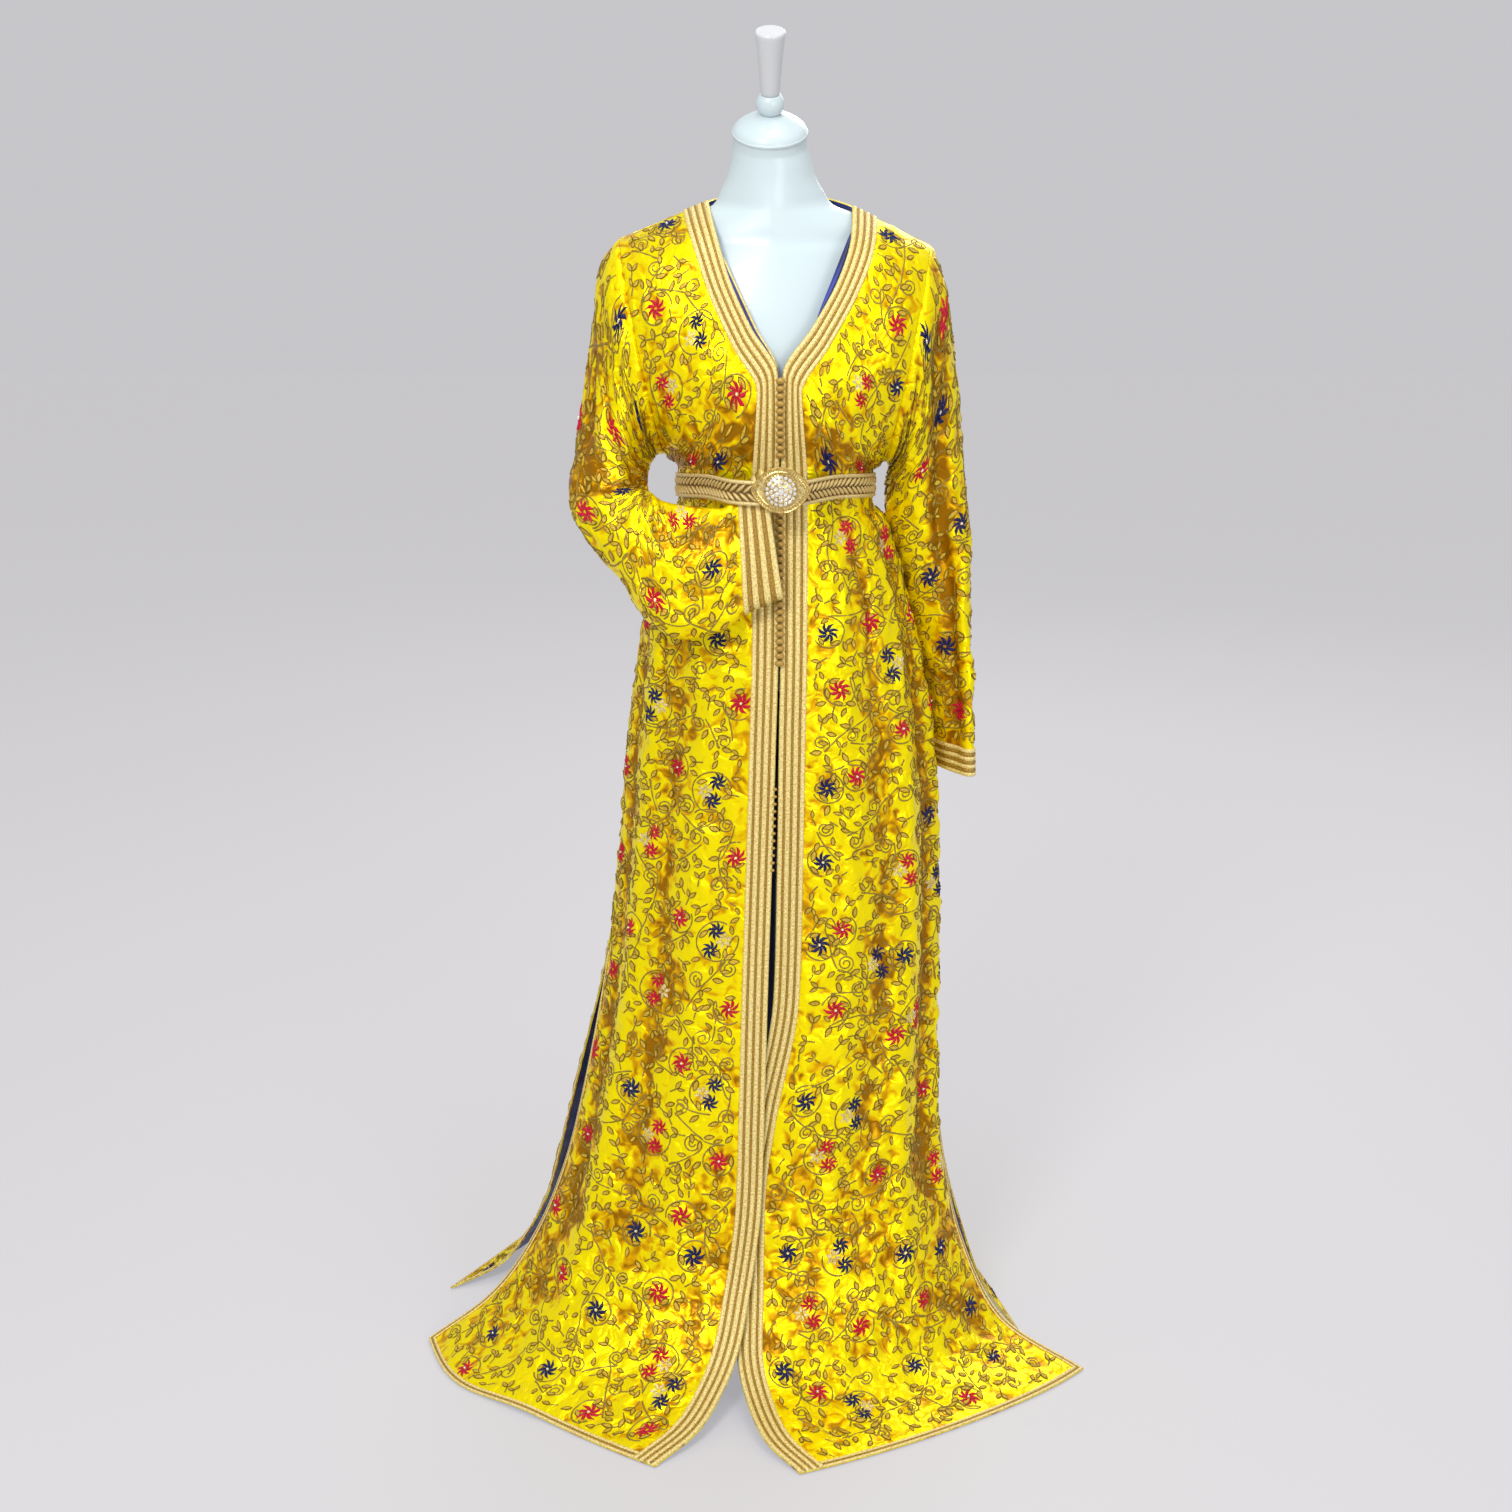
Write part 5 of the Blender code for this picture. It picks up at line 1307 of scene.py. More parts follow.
def stamping_tree(name, count):
    """Node tree that sets each stamp on the points of its kind, turned and sized by their attributes."""
    tree = bpy.data.node_groups.new(name, "GeometryNodeTree")
    sockets = [("Points", "Geometry")]
    for k in range(count):
        sockets += [("Stamp %d" % k, "Object"), ("Finish %d" % k, "Material"), ("Repaint %d" % k, "Bool")]
    for socket, kind in sockets:
        tree.interface.new_socket(socket, in_out="INPUT", socket_type="NodeSocket" + kind)
    tree.interface.new_socket("Pieces", in_out="OUTPUT", socket_type="NodeSocketGeometry")
    given = tree.nodes.new("NodeGroupInput")
    made = tree.nodes.new("NodeGroupOutput")
    kind, size, turn = [
        add_node(tree, "GeometryNodeInputNamedAttribute", {"data_type": form}, {"Name": name})
        for name, form in (("kind", "INT"), ("size", "FLOAT"), ("turn", "FLOAT_VECTOR"))]
    facing = add_node(tree, "FunctionNodeEulerToRotation", inputs={"Euler": turn.outputs["Attribute"]})
    joined = tree.nodes.new("GeometryNodeJoinGeometry")
    for k in range(count):
        chosen = add_node(tree, "FunctionNodeCompare", {"data_type": "INT", "operation": "EQUAL"})
        tree.links.new(kind.outputs["Attribute"], chosen.inputs[2])
        chosen.inputs[3].default_value = k
        shape = add_node(tree, "GeometryNodeObjectInfo", inputs={"Object": given.outputs["Stamp %d" % k]})
        spread = add_node(tree, "GeometryNodeInstanceOnPoints", inputs={
            "Points": given.outputs["Points"], "Selection": chosen.outputs["Result"],
            "Instance": shape.outputs["Geometry"], "Rotation": facing.outputs["Rotation"]})
        tree.links.new(size.outputs["Attribute"], spread.inputs["Scale"])
        real = add_node(tree, "GeometryNodeRealizeInstances", inputs={
            "Geometry": spread.outputs["Instances"]})
        painted = add_node(tree, "GeometryNodeSetMaterial", inputs={
            "Geometry": real.outputs["Geometry"], "Selection": given.outputs["Repaint %d" % k],
            "Material": given.outputs["Finish %d" % k]})
        tree.links.new(painted.outputs["Geometry"], joined.inputs["Geometry"])
    tree.links.new(joined.outputs["Geometry"], made.inputs["Pieces"])
    return tree


def stamped(name, places, stamps, turns=(0, 0, 0), kinds=0, sizes=1.0, smooth=True):
    """Mesh of stamps on points, turned by the Euler angles of each point. It uses the stamps up."""
    mesh = bpy.data.meshes.new(name)
    mesh.from_pydata(np.asarray(places, float).tolist(), [], [])
    count = len(places)
    turns = np.broadcast_to(turns, (count, 3)).astype(float).ravel()
    sizes = np.broadcast_to(sizes, count).astype(float)
    kinds = np.broadcast_to(kinds, count).astype(np.int32)
    for note, form, field, values in (
            ("turn", "FLOAT_VECTOR", "vector", turns),
            ("size", "FLOAT", "value", sizes),
            ("kind", "INT", "value", kinds)):
        mesh.attributes.new(note, form, "POINT").data.foreach_set(field, values)
    points = new_object(name + "_points", mesh)
    tree = stamping_tree(name + "_stamping", len(stamps))
    modifier = points.modifiers.new("stamping", "NODES")
    modifier.node_group = tree
    sockets = {item.name: item.identifier for item in tree.interface.items_tree if item.in_out == "INPUT"}
    for k, stamp in enumerate(stamps):
        modifier[sockets["Stamp %d" % k]] = stamp
        modifier[sockets["Finish %d" % k]] = stamp.data.materials[0]
        modifier[sockets["Repaint %d" % k]] = len(stamp.data.materials) == 1
    bpy.context.view_layer.update()
    evaluated = points.evaluated_get(bpy.context.evaluated_depsgraph_get())
    made = bpy.data.meshes.new_from_object(evaluated)
    made.name = name
    piece = new_object(name, made)
    for used in [points] + stamps:
        bpy.data.objects.remove(used)
    for attribute in ("turn", "size", "kind"):
        if attribute in made.attributes:
            made.attributes.remove(made.attributes[attribute])
    if smooth:
        made.shade_smooth()
    return piece


def angles_of(across, up, outward):
    """Euler angles that turn the ground plane's directions to these three."""
    return tuple(Matrix(np.column_stack((across, up, outward)).tolist()).to_euler())


def sew_down(piece, cloth):
    """Bend a flat stamped mesh onto the cloth: x runs across it, y down it and z off its face."""
    flat = np.empty(len(piece.data.vertices) * 3, np.float32)
    piece.data.vertices.foreach_get("co", flat)
    flat = flat.reshape(-1, 3)
    sewn = cloth.at(flat[:, 0], flat[:, 1], flat[:, 2]).astype(np.float32)
    piece.data.vertices.foreach_set("co", sewn.ravel())
    if not cloth.turned:
        piece.data.flip_normals()
    piece.data.update()


def vine_piece(name, work, finish):
    """All the stems of a panel as one mesh of low rounded ridges."""
    points = []
    faces = []
    uvs = []
    total = 0
    for line in work.strokes:
        u = np.array([p[0] for p in line])
        v = np.array([p[1] for p in line])
        head_u = np.gradient(u)
        head_v = np.gradient(v)
        length = np.hypot(head_u, head_v) + 1e-9
        aside_u = -head_v / length * VINE_WIDTH / 2
        aside_v = head_u / length * VINE_WIDTH / 2
        left = work.cloth.at(u + aside_u, v + aside_v, -0.0001)
        crest = work.cloth.at(u, v, VINE_RISE)
        right = work.cloth.at(u - aside_u, v - aside_v, -0.0001)
        run = np.cumsum(length)
        count = len(line)
        points += [left, crest, right]
        for share in (0.0, 0.001, 0.002):
            uvs.append(np.stack([np.full(count, share), run], -1))
        for strip in (0, 1):
            a = total + strip * count + np.arange(count - 1)
            faces.append(np.stack([a, a + 1, a + 1 + count, a + count], -1))
        total += 3 * count
    faces = np.concatenate(faces)
    if work.cloth.turned:
        faces = faces[:, ::-1]
    return mesh_piece(name, np.concatenate(points), faces, [finish], np.concatenate(uvs))


def tube(name, path, radius, finish, sides=8, closed=False, flat=1.0):
    """Round cord along a path of points."""
    path = np.asarray(path, float)
    along = np.gradient(path, axis=0)
    if closed:
        along = np.roll(path, -1, axis=0) - np.roll(path, 1, axis=0)
    along /= np.linalg.norm(along, axis=1, keepdims=True)
    guide = np.where(np.abs(along[:, 2:]) > 0.9, [[0.0, 1.0, 0.0]], [[0.0, 0.0, 1.0]])
    aside = np.cross(along, guide)
    aside /= np.linalg.norm(aside, axis=1, keepdims=True)
    up = np.cross(aside, along)
    angles = np.arange(sides) * math.tau / sides
    ring = aside[:, None] * np.cos(angles)[None, :, None] * flat + up[:, None] * np.sin(angles)[None, :, None]
    points = path[:, None] + ring * radius
    run = run_along(path)
    uvs = np.stack(np.broadcast_arrays((angles * radius)[None, :], run[:, None]), -1).reshape(-1, 2)
    faces = ring_faces(len(path), sides, closed)
    if not closed:
        first, last = ends_of(len(path), sides)
        faces += [first[::-1], last]
    piece = mesh_piece(name, points.reshape(-1, 3), faces, [finish], uvs)
    outwards(piece)
    return piece


# The empty loops lower down the right front's edge, below the row of knots
KNOT_PITCH = 0.0088
KNOT_TOP = 1.2380
KNOT_BOTTOM = 0.8960
KNOTS_LEFT_OUT = (1.082, 1.146)
LOOP_TOP = 0.748
LOOP_BOTTOM = 0.640
LOOP_PITCH = 0.0092
LOOP_SIZE = 0.52
BAND_FACE = SEAM_GAP + 0.0015

laid = {}
finishes = {}


def knot_stamp(name, finish):
    """A knotted cord button: an oval ball wound with slanting turns of cord."""
    points = []
    around, along = 18, 8
    for a in range(along + 1):
        tilt = math.pi * a / along
        for b in range(around):
            angle = math.tau * b / around
            wound = 1 + 0.11 * math.cos(3 * angle + 2.4 * tilt)
            reach = math.sin(tilt) * wound
            x = math.cos(tilt) * 0.0057
            points.append((x, reach * 0.0041 * math.cos(angle), reach * 0.0041 * math.sin(angle)))
    stamp = mesh_piece(name, points, ring_faces(along + 1, around), [finish])
    work = bmesh.new()
    work.from_mesh(stamp.data)
    bmesh.ops.remove_doubles(work, verts=work.verts, dist=0.00001)
    bmesh.ops.recalc_face_normals(work, faces=work.faces)
    work.to_mesh(stamp.data)
    work.free()
    return stamp


def closing_line():
    """Points down the closed front, between the edges of the two bands."""
    lines = []
    for side in ("right", "left"):
        cloth = laid[side]
        v = cloth.down
        lines.append(cloth.at(cloth.edges(v)[0], v, BAND_FACE))
    heights = np.linspace(1.26, 0.60, 400)
    right, left = [np.stack(at_level(line, heights), -1) for line in lines]
    return (right + left) / 2


def add_knots():
    line = closing_line()
    places = []
    z = KNOT_TOP
    while z > KNOT_BOTTOM:
        if not KNOTS_LEFT_OUT[0] < z < KNOTS_LEFT_OUT[1]:
            x, y = at_level(line, z, (0, 1))
            places.append((x + 0.0002, y - SEAM_GAP - KNOT_RADIUS * 0.93, z))
        z -= KNOT_PITCH
    knots = stamped("knots", places, [knot_stamp("knot_stamp", finishes["knot"])])
    nodes = sorted(name for name in frame["nodes"] if name.startswith("knot_"))
    keep_on(knots, nodes)
    add_loops()


def add_loops():
    """Small cord loops, empty where the front hangs open, along the right band's inner edge."""
    cloth = laid["right"]
    levels = []
    z = LOOP_TOP
    edge = cloth.at(cloth.edges(cloth.down)[0], cloth.down)
    while z > LOOP_BOTTOM:
        levels.append(float(np.interp(-z, -edge[:, 2], cloth.down)))
        z -= LOOP_PITCH
    v = np.array(levels)
    u = cloth.edges(v)[0]
    places = cloth.at(u, v, BAND_FACE)
    places[:, 1] -= 0.0004
    loops = stamped("front_loops", places, [knot_stamp("loop_stamp", finishes["knot"])], sizes=LOOP_SIZE)
    keep_on(loops)


# The strap is pulled straight across the front, this far from its middle
BELT_STRAIGHT = 0.085


def belt_path():
    """Inner face of the strap, round the waist from the plate and back over the cuff."""
    points = []
    for key, step in (("left", 1), ("back", -1), ("right", -1)):
        cloth = laid[key]
        v = cloth.down_at_row(WAIST_ROW)
        first, last = cloth.edges(v)
        near = BAND_WIDTH if key != "back" else first + 0.004
        far = last - 0.004
        u = np.linspace(near, far, 40)[::step]
        points += list(cloth.at(u, np.full_like(u, v), BELT_GAP))
    path = [(PLATE_CENTRE[0] + BELT_END, BELT_PLATE_Y), (BELT_OFF_PLATE, BELT_PLATE_Y)]
    for x, y, _ in points:
        if y > 0 or not BELT_ON_CLOTH[0] < x < BELT_ON_CLOTH[1]:
            path.append((x, y))
    path += [(BELT_OVER_CUFF, BELT_PLATE_Y), (PLATE_CENTRE[0] - BELT_END, BELT_PLATE_Y)]
    path = np.array(path)
    runs = run_along(path)
    even = np.linspace(0, runs[-1], int(runs[-1] / 0.004))
    smooth = np.stack([np.interp(even, runs, path[:, axis]) for axis in (0, 1)], -1)
    front = (np.abs(smooth[1:-1, :1]) < BELT_STRAIGHT) & (smooth[1:-1, 1:] < 0)
    for turn in range(90):
        softer = (smooth[:-2] + smooth[1:-1] * 2 + smooth[2:]) / 4
        smooth[1:-1] = np.where(front | (turn < 14), softer, smooth[1:-1])
    heights = np.interp(-smooth[:, 1], (-BELT_BACK_Y, -BELT_FRONT_Y), (BELT_BACK_Z, BELT_FRONT_Z))
    for _ in range(200):
        heights[1:-1] = (heights[:-2] + heights[1:-1] * 2 + heights[2:]) / 4
    return np.column_stack((smooth, heights))


def belt_frame(path):
    along = np.gradient(path, axis=0)
    along /= np.linalg.norm(along, axis=1, keepdims=True)
    outward = np.cross(along, [0, 0, 1.0])
    outward /= np.linalg.norm(outward, axis=1, keepdims=True)
    return along, outward


STRAND_LENGTH = 0.0165


def strand_stamp(name, finish):
    """One plump strand of the plait, lying along its own length."""
    points = []
    steps, sides = 5, 6
    for s in range(steps + 1):
        t = s / steps
        plump = 0.10 + 0.9 * math.sin(math.pi * t) ** 0.6
        for k in range(sides):
            angle = math.tau * k / sides
            wide = 0.0022 * plump * math.cos(angle)
            points.append(((t - 0.5) * STRAND_LENGTH, wide, 0.0026 * plump * math.sin(angle)))
    first, last = ends_of(steps + 1, sides)
    strand = mesh_piece(name, points, ring_faces(steps + 1, sides) + [first[::-1], last], [finish])
    outwards(strand)
    return strand


def add_belt():
    path = belt_path()
    along, outward = belt_frame(path)
    up = np.array([0, 0, 1.0])
    flat = [(-0.5, 0.0), (-0.5, 0.55), (0.5, 0.55), (0.5, 0.0)]
    points = [path + up * height * BELT_HEIGHT + outward * depth * BELT_THICK for height, depth in flat]
    points = np.stack(points, 1).reshape(-1, 3)
    first, last = ends_of(len(path), 4)
    faces = ring_faces(len(path), 4) + [first, last[::-1]]
    run = run_along(path)
    uvs = np.stack(np.broadcast_arrays(np.array([0.0, 0.001, 0.03, 0.031])[None, :], run[:, None]), -1)
    ground = [finishes["braid_ground"]]
    strap = mesh_piece("belt_strap", points, faces, ground, uvs.reshape(-1, 2), smooth=False)
    outwards(strap)
    keep_on(strap, ["belt"])
    for name, height in (("belt_roll_upper", 0.43), ("belt_roll_lower", -0.43)):
        line = path + up * height * BELT_HEIGHT + outward * 0.0022
        keep_on(tube(name, line, 0.0024, finishes["braid"], flat=0.9))
    places, turns = [], []
    even = np.arange(0.004, run[-1] - 0.008, 0.0092)
    for height, lean, shift in ((0.18, 0.68, 0.0), (-0.18, -0.68, 0.0046)):
        for distance in even + shift:
            place = np.array([np.interp(distance, run, path[:, axis]) for axis in range(3)])
            head = np.array([np.interp(distance, run, along[:, axis]) for axis in range(3)])
            out = np.array([np.interp(distance, run, outward[:, axis]) for axis in range(3)])
            head /= np.linalg.norm(head)
            x = head * math.cos(lean) + up * math.sin(lean)
            places.append(place + up * height * BELT_HEIGHT + out * 0.0026)
            turns.append(angles_of(x, np.cross(out, x), out))
    plait = stamped("belt_plait", places, [strand_stamp("strand_stamp", finishes["braid"])], turns)
    keep_on(plait)
    add_plate()


def plate_outline(angle, power=1.5):
    x = PLATE_HALF_LENGTH * math.cos(angle)
    z = PLATE_HALF_HEIGHT * math.copysign(abs(math.sin(angle)) ** power, math.sin(angle))
    return x, z


def stone_stamp(name, finish):
    """Cut stone: eight crown facets round a flat table."""
    points = [(math.cos(math.tau * k / 8) * r, math.sin(math.tau * k / 8) * r, z)
              for r, z in ((0.00255, 0.0), (0.0025, 0.0007), (0.0014, 0.0019)) for k in range(8)]
    return mesh_piece(name, points, [ends_of(3, 8)[1]] + ring_faces(3, 8), [finish], smooth=False)


# Rings of the plate from its back: share of its outline and depth in plate thicknesses
PLATE_RINGS = (
    (1, 0), (1, 0.55), (0.97, 0.85), (0.92, 0.62), (0.86, 0.60), (0.80, 0.95), (0.74, 0.80), (0.30, 1.3))
# Rings of stones: how many, radius, depth and size
STONE_RINGS = in_metres((1, 2), (
    (1, 0, 12, 1.5), (6, 6.2, 11.2, 1), (12, 11.2, 9.8, 0.95), (18, 16.2, 7.6, 0.92)))
RIM_BEADS = 64
DOME_BEADS = 34
DOME_RINGS = 7
DOME_POINTS = 48
PLATE_POINTS = 72


def around_plate(radius, depth, turn):
    """Point in front of the plate's middle, that part of a turn round it."""
    angle = math.tau * turn
    return np.array(PLATE_CENTRE) + np.array([radius * math.cos(angle), -depth, radius * math.sin(angle)])


def add_plate():
    """Eye-shaped plate with a beaded rim and a round cluster of stones."""
    points = []
    for share, depth in PLATE_RINGS:
        for k in range(PLATE_POINTS):
            x, z = plate_outline(math.tau * k / PLATE_POINTS)
            points.append((x * share, -depth * PLATE_THICK, z * share))
    points = np.array(points) + np.array(PLATE_CENTRE)
    first, last = ends_of(len(PLATE_RINGS), PLATE_POINTS)
    faces = [first] + ring_faces(len(PLATE_RINGS), PLATE_POINTS) + [last]
    uvs = [(p[0] - PLATE_CENTRE[0], p[2] - PLATE_CENTRE[2]) for p in points]
    plate = mesh_piece("buckle_plate", points, faces, [finishes["gilt"]], uvs)
    outwards(plate)
    plate.data.set_sharp_from_angle(angle=math.radians(50))
    keep_on(plate, ["belt_plate"])
    centre = np.array(PLATE_CENTRE)
    stones = []
    for ring, (count, radius, depth, size) in enumerate(STONE_RINGS):
        for k in range(count):
            stones.append((around_plate(radius, depth, (k + 0.5 * (ring % 2)) / count), 0, size))
    for k in range(RIM_BEADS):
        x, z = plate_outline(math.tau * k / RIM_BEADS)
        stones.append((centre + np.array([x * 0.9, -PLATE_THICK * 0.62, z * 0.9]), 1, 0.62))
    for k in range(DOME_BEADS):
        stones.append((around_plate(0.0197, 0.0052, k / DOME_BEADS), 1, 0.72))
    cone = []
    for share in np.linspace(0, 1, DOME_RINGS):
        for k in range(DOME_POINTS):
            cone.append(around_plate(0.0192 * share, 0.0108 - 0.0064 * share ** 1.8, k / DOME_POINTS))
    uvs = [(p[0], p[2]) for p in np.array(cone) - centre]
    faces = ring_faces(DOME_RINGS, DOME_POINTS)
    dome = mesh_piece("buckle_dome", cone, faces, [finishes["gilt"]], uvs)
    outwards(dome)
    keep_on(dome)
    stamps = [stone_stamp("stone_stamp", finishes["stone"]),
              bead_stamp("rim_bead", finishes["gilt"], 0.0020, 0.0014)]
    places, kinds, sizes = zip(*stones)
    cluster = stamped("buckle_stones", places, stamps, (math.pi / 2, 0, 0), kinds, sizes, smooth=False)
    keep_on(cluster)


def turned_solid(name, rings, finish):
    size = len(rings[0])
    points = [p for ring in rings for p in ring]
    first, last = ends_of(len(rings), size)
    faces = [first] + ring_faces(len(rings), size) + [last]
    piece = mesh_piece(name, points, faces, [finish])
    outwards(piece)
    piece.data.set_sharp_from_angle(angle=math.radians(38))
    return piece


def form_ring(z, right, left, front, back, power, segments):
    ring = []
    for k in range(segments):
        c = math.cos(math.tau * k / segments)
        s = math.sin(math.tau * k / segments)
        x = math.copysign(abs(c) ** (2 / power), c) * (left if c > 0 else right)
        y = math.copysign(abs(s) ** (2 / power), s) * (back if s > 0 else front)
        ring.append((x, y, z))
    return ring


def tilted_ring(radius, rise, segments):
    """Round ring about the neck's slanted axis, rise above its top plane."""
    axis = np.array([0.0, -math.sin(CAP_TILT), math.cos(CAP_TILT)])
    side = np.array([1.0, 0.0, 0.0])
    ahead = np.cross(axis, side)
    ring = []
    for k in range(segments):
        angle = math.tau * k / segments
        out = side * math.cos(angle) + ahead * math.sin(angle)
        ring.append(np.array(NECK_TOP) + axis * rise + out * radius)
    return ring


CAP_PROFILE = in_metres((0, 1), (
    (0.3, 44.6), (1.2, 45.2), (3.4, 45.2), (4.2, 44.3), (5, 44), (8.5, 42.5), (12.5, 38.5), (16.5, 32.5),
    (20, 25.8), (22.6, 19.6), (24.5, 15), (26.2, 13),
))
BALL_PROFILE = in_metres((0, 1), (
    (26.5, 12), (28.5, 13.8), (31.5, 15.6), (35, 16.5), (38.5, 16.7), (42.5, 16.1), (46, 14.8),
    (48.5, 13.2), (50, 11.8),
))
FINIAL_PROFILE = in_metres((0, 1), (
    (50.3, 10.4), (52, 11.2), (56, 11.7), (73, 12.9), (90, 14.3), (109, 16.3), (121, 17.7), (124.5, 18),
    (126.4, 17.7), (127.5, 16.6),
))


FORM_POINTS = 128


def add_form():
    """Torso, neck, cap, ball and finial of the form."""
    heights = [row[0] for row in FORM_SECTION]
    levels = []
    for low, high in zip(heights, heights[1:]):
        levels += list(np.linspace(low, high, 5)[:-1])
    rings = []
    for z in levels + [heights[-1]]:
        widths = [float(column(FORM_SECTION, FORM_COLUMNS, name, z)) for name in FORM_COLUMNS[1:]]
        rings.append(form_ring(z, *widths, FORM_POINTS))
    top = np.array(rings[-1])
    low_ring = np.array(tilted_ring(NECK_TOP_RADIUS, -0.010, FORM_POINTS))
    for t in (0.25, 0.5, 0.75):
        rings.append((top * (1 - t) + low_ring * t).tolist())
    rings += [low_ring.tolist(), tilted_ring(NECK_TOP_RADIUS, 0.0, FORM_POINTS)]
    keep_on(turned_solid("torso", rings, finishes["white_gloss"]), ["form_torso"])
    for name, profile, slot, node in (
            ("cap", CAP_PROFILE, "white_gloss", "neck_cap"),
            ("ball", BALL_PROFILE, "white_gloss", "finial_ball"),
            ("handle", FINIAL_PROFILE, "grey_gloss", "finial")):
        rings = [tilted_ring(radius, rise, 72) for rise, radius in profile]
        keep_on(turned_solid(name, rings, finishes[slot]), [node])
    rim = tilted_ring(0.0436, 0.0002, 96)
    keep_on(tube("cap_rim", rim, 0.0010, finishes["grey_gloss"], closed=True))


def add_stand():
    pole = ((POLE_RADIUS, FOOT_THICK + 0.0003), (POLE_RADIUS, FORM_SECTION[0][0] - 0.0003))
    foot = ((FOOT_RADIUS, 0.0), (FOOT_RADIUS, 0.0070), (FOOT_RADIUS - 0.0016, 0.0100),
            (FOOT_RADIUS - 0.0050, FOOT_THICK), (0.030, FOOT_THICK), (0.020, FOOT_THICK))
    for name, profile, node in (("pole", pole, "stand_pole"), ("foot", foot, "stand_base")):
        steps = [math.tau * k / 96 for k in range(96)]
        rings = [[(r * math.cos(a), r * math.sin(a), z) for a in steps] for r, z in profile]
        keep_on(turned_solid(name, rings, finishes["steel"]), [node])


FRONT_CORDS = 7
EDGE_CORDS = 3


def node_of(key):
    """CAD node of a laid cloth: the fronts are laid under their side's name."""
    return key if key in frame["nodes"] else "front_" + key


def keep_cloth(key, cloth):
    laid[key] = cloth
    piece = shell_of("cloth_" + node_of(key), cloth, finishes["satin"], finishes["lining"])
    keep_on(piece, [node_of(key)])


def lay_fronts(step):
    for side, seed in (("right", 11), ("left", 23)):
        def point(place, row, side=side):
            return front_point(side, place, row)

        keep_cloth(side, lay_panel(point, FOLDS[side], CREASES[side], step, 0.0, side == "right", seed))


def lay_back(step):
    keep_cloth("back", lay_panel(back_point, FOLDS["back"], CREASES["back"], step, -1.0, True, 37))


def lay_sleeves(step):
    for side, seed in (("right", 51), ("left", 67)):
        keep_cloth("sleeve_" + side, lay_sleeve(side, step, seed))


def add_facing():
    """Navy facing that turns in at the left neckline, and the inner cord at the right one."""
    for side, first_row, last_row, reach in (("left", 0.20, 0.72, 0.0085), ("right", 0.40, 0.98, 0.0035)):
        cloth = laid[side]
        v = np.linspace(cloth.down_at_row(first_row), cloth.down_at_row(last_row), 60)
        edge = cloth.edges(v)[0]
        rim = cloth.at(edge, v)
        inward = rim - cloth.at(edge + 0.006, v)
        inward /= np.linalg.norm(inward, axis=1, keepdims=True)
        depth = cloth.normal(edge, v)
        swell = np.sin(np.pi * np.linspace(0, 1, 60))[:, None] ** 0.7
        lines = [rim - depth * 0.0014, rim + inward * reach * swell - depth * 0.0026,
                 rim + inward * reach * swell * 0.9 - depth * 0.0040, rim - depth * 0.0034]
        points = np.stack(lines, 1).reshape(-1, 3)
        facing = mesh_piece("facing_" + side, points, ring_faces(60, 4), [finishes["lining"]])
        outwards(facing)
        keep_on(facing)
        if side == "right":
            cord = rim + inward * (reach + 0.0016) * swell - depth * 0.0030
            keep_on(tube("neck_cord", cord, 0.0014, finishes["cream_cord"], sides=6))


def add_trims():
    add_facing()
    for side in ("right", "left"):
        cloth = laid[side]
        front = front_band_lines(cloth, FRONT_CORDS)
        corded_band("band_front_" + side, cloth, front, 0.0012, 0.0018, "front_trim_" + side)
        edge = edge_lines(cloth, 1, BAND_WIDTH + 0.0006, EDGE_CORDS)
        corded_band("band_edge_" + side, cloth, edge, 0.0011, 0.0007, "edge_trim_" + side)
        cloth = laid["sleeve_" + side]
        cuff = cuff_lines(cloth, side, FRONT_CORDS)
        corded_band("band_cuff_" + side, cloth, cuff, 0.0012, 0.0016, "cuff_trim_" + side, closed=True)
    cloth = laid["back"]
    edge = edge_lines(cloth, 2, 0.0, EDGE_CORDS)
    corded_band("band_edge_back", cloth, edge, 0.0011, 0.0007, "edge_trim_back")
    neck = neck_band_lines(cloth, FRONT_CORDS)
    corded_band("band_neck_back", cloth, neck, 0.0014, 0.0009, "neck_trim_back")


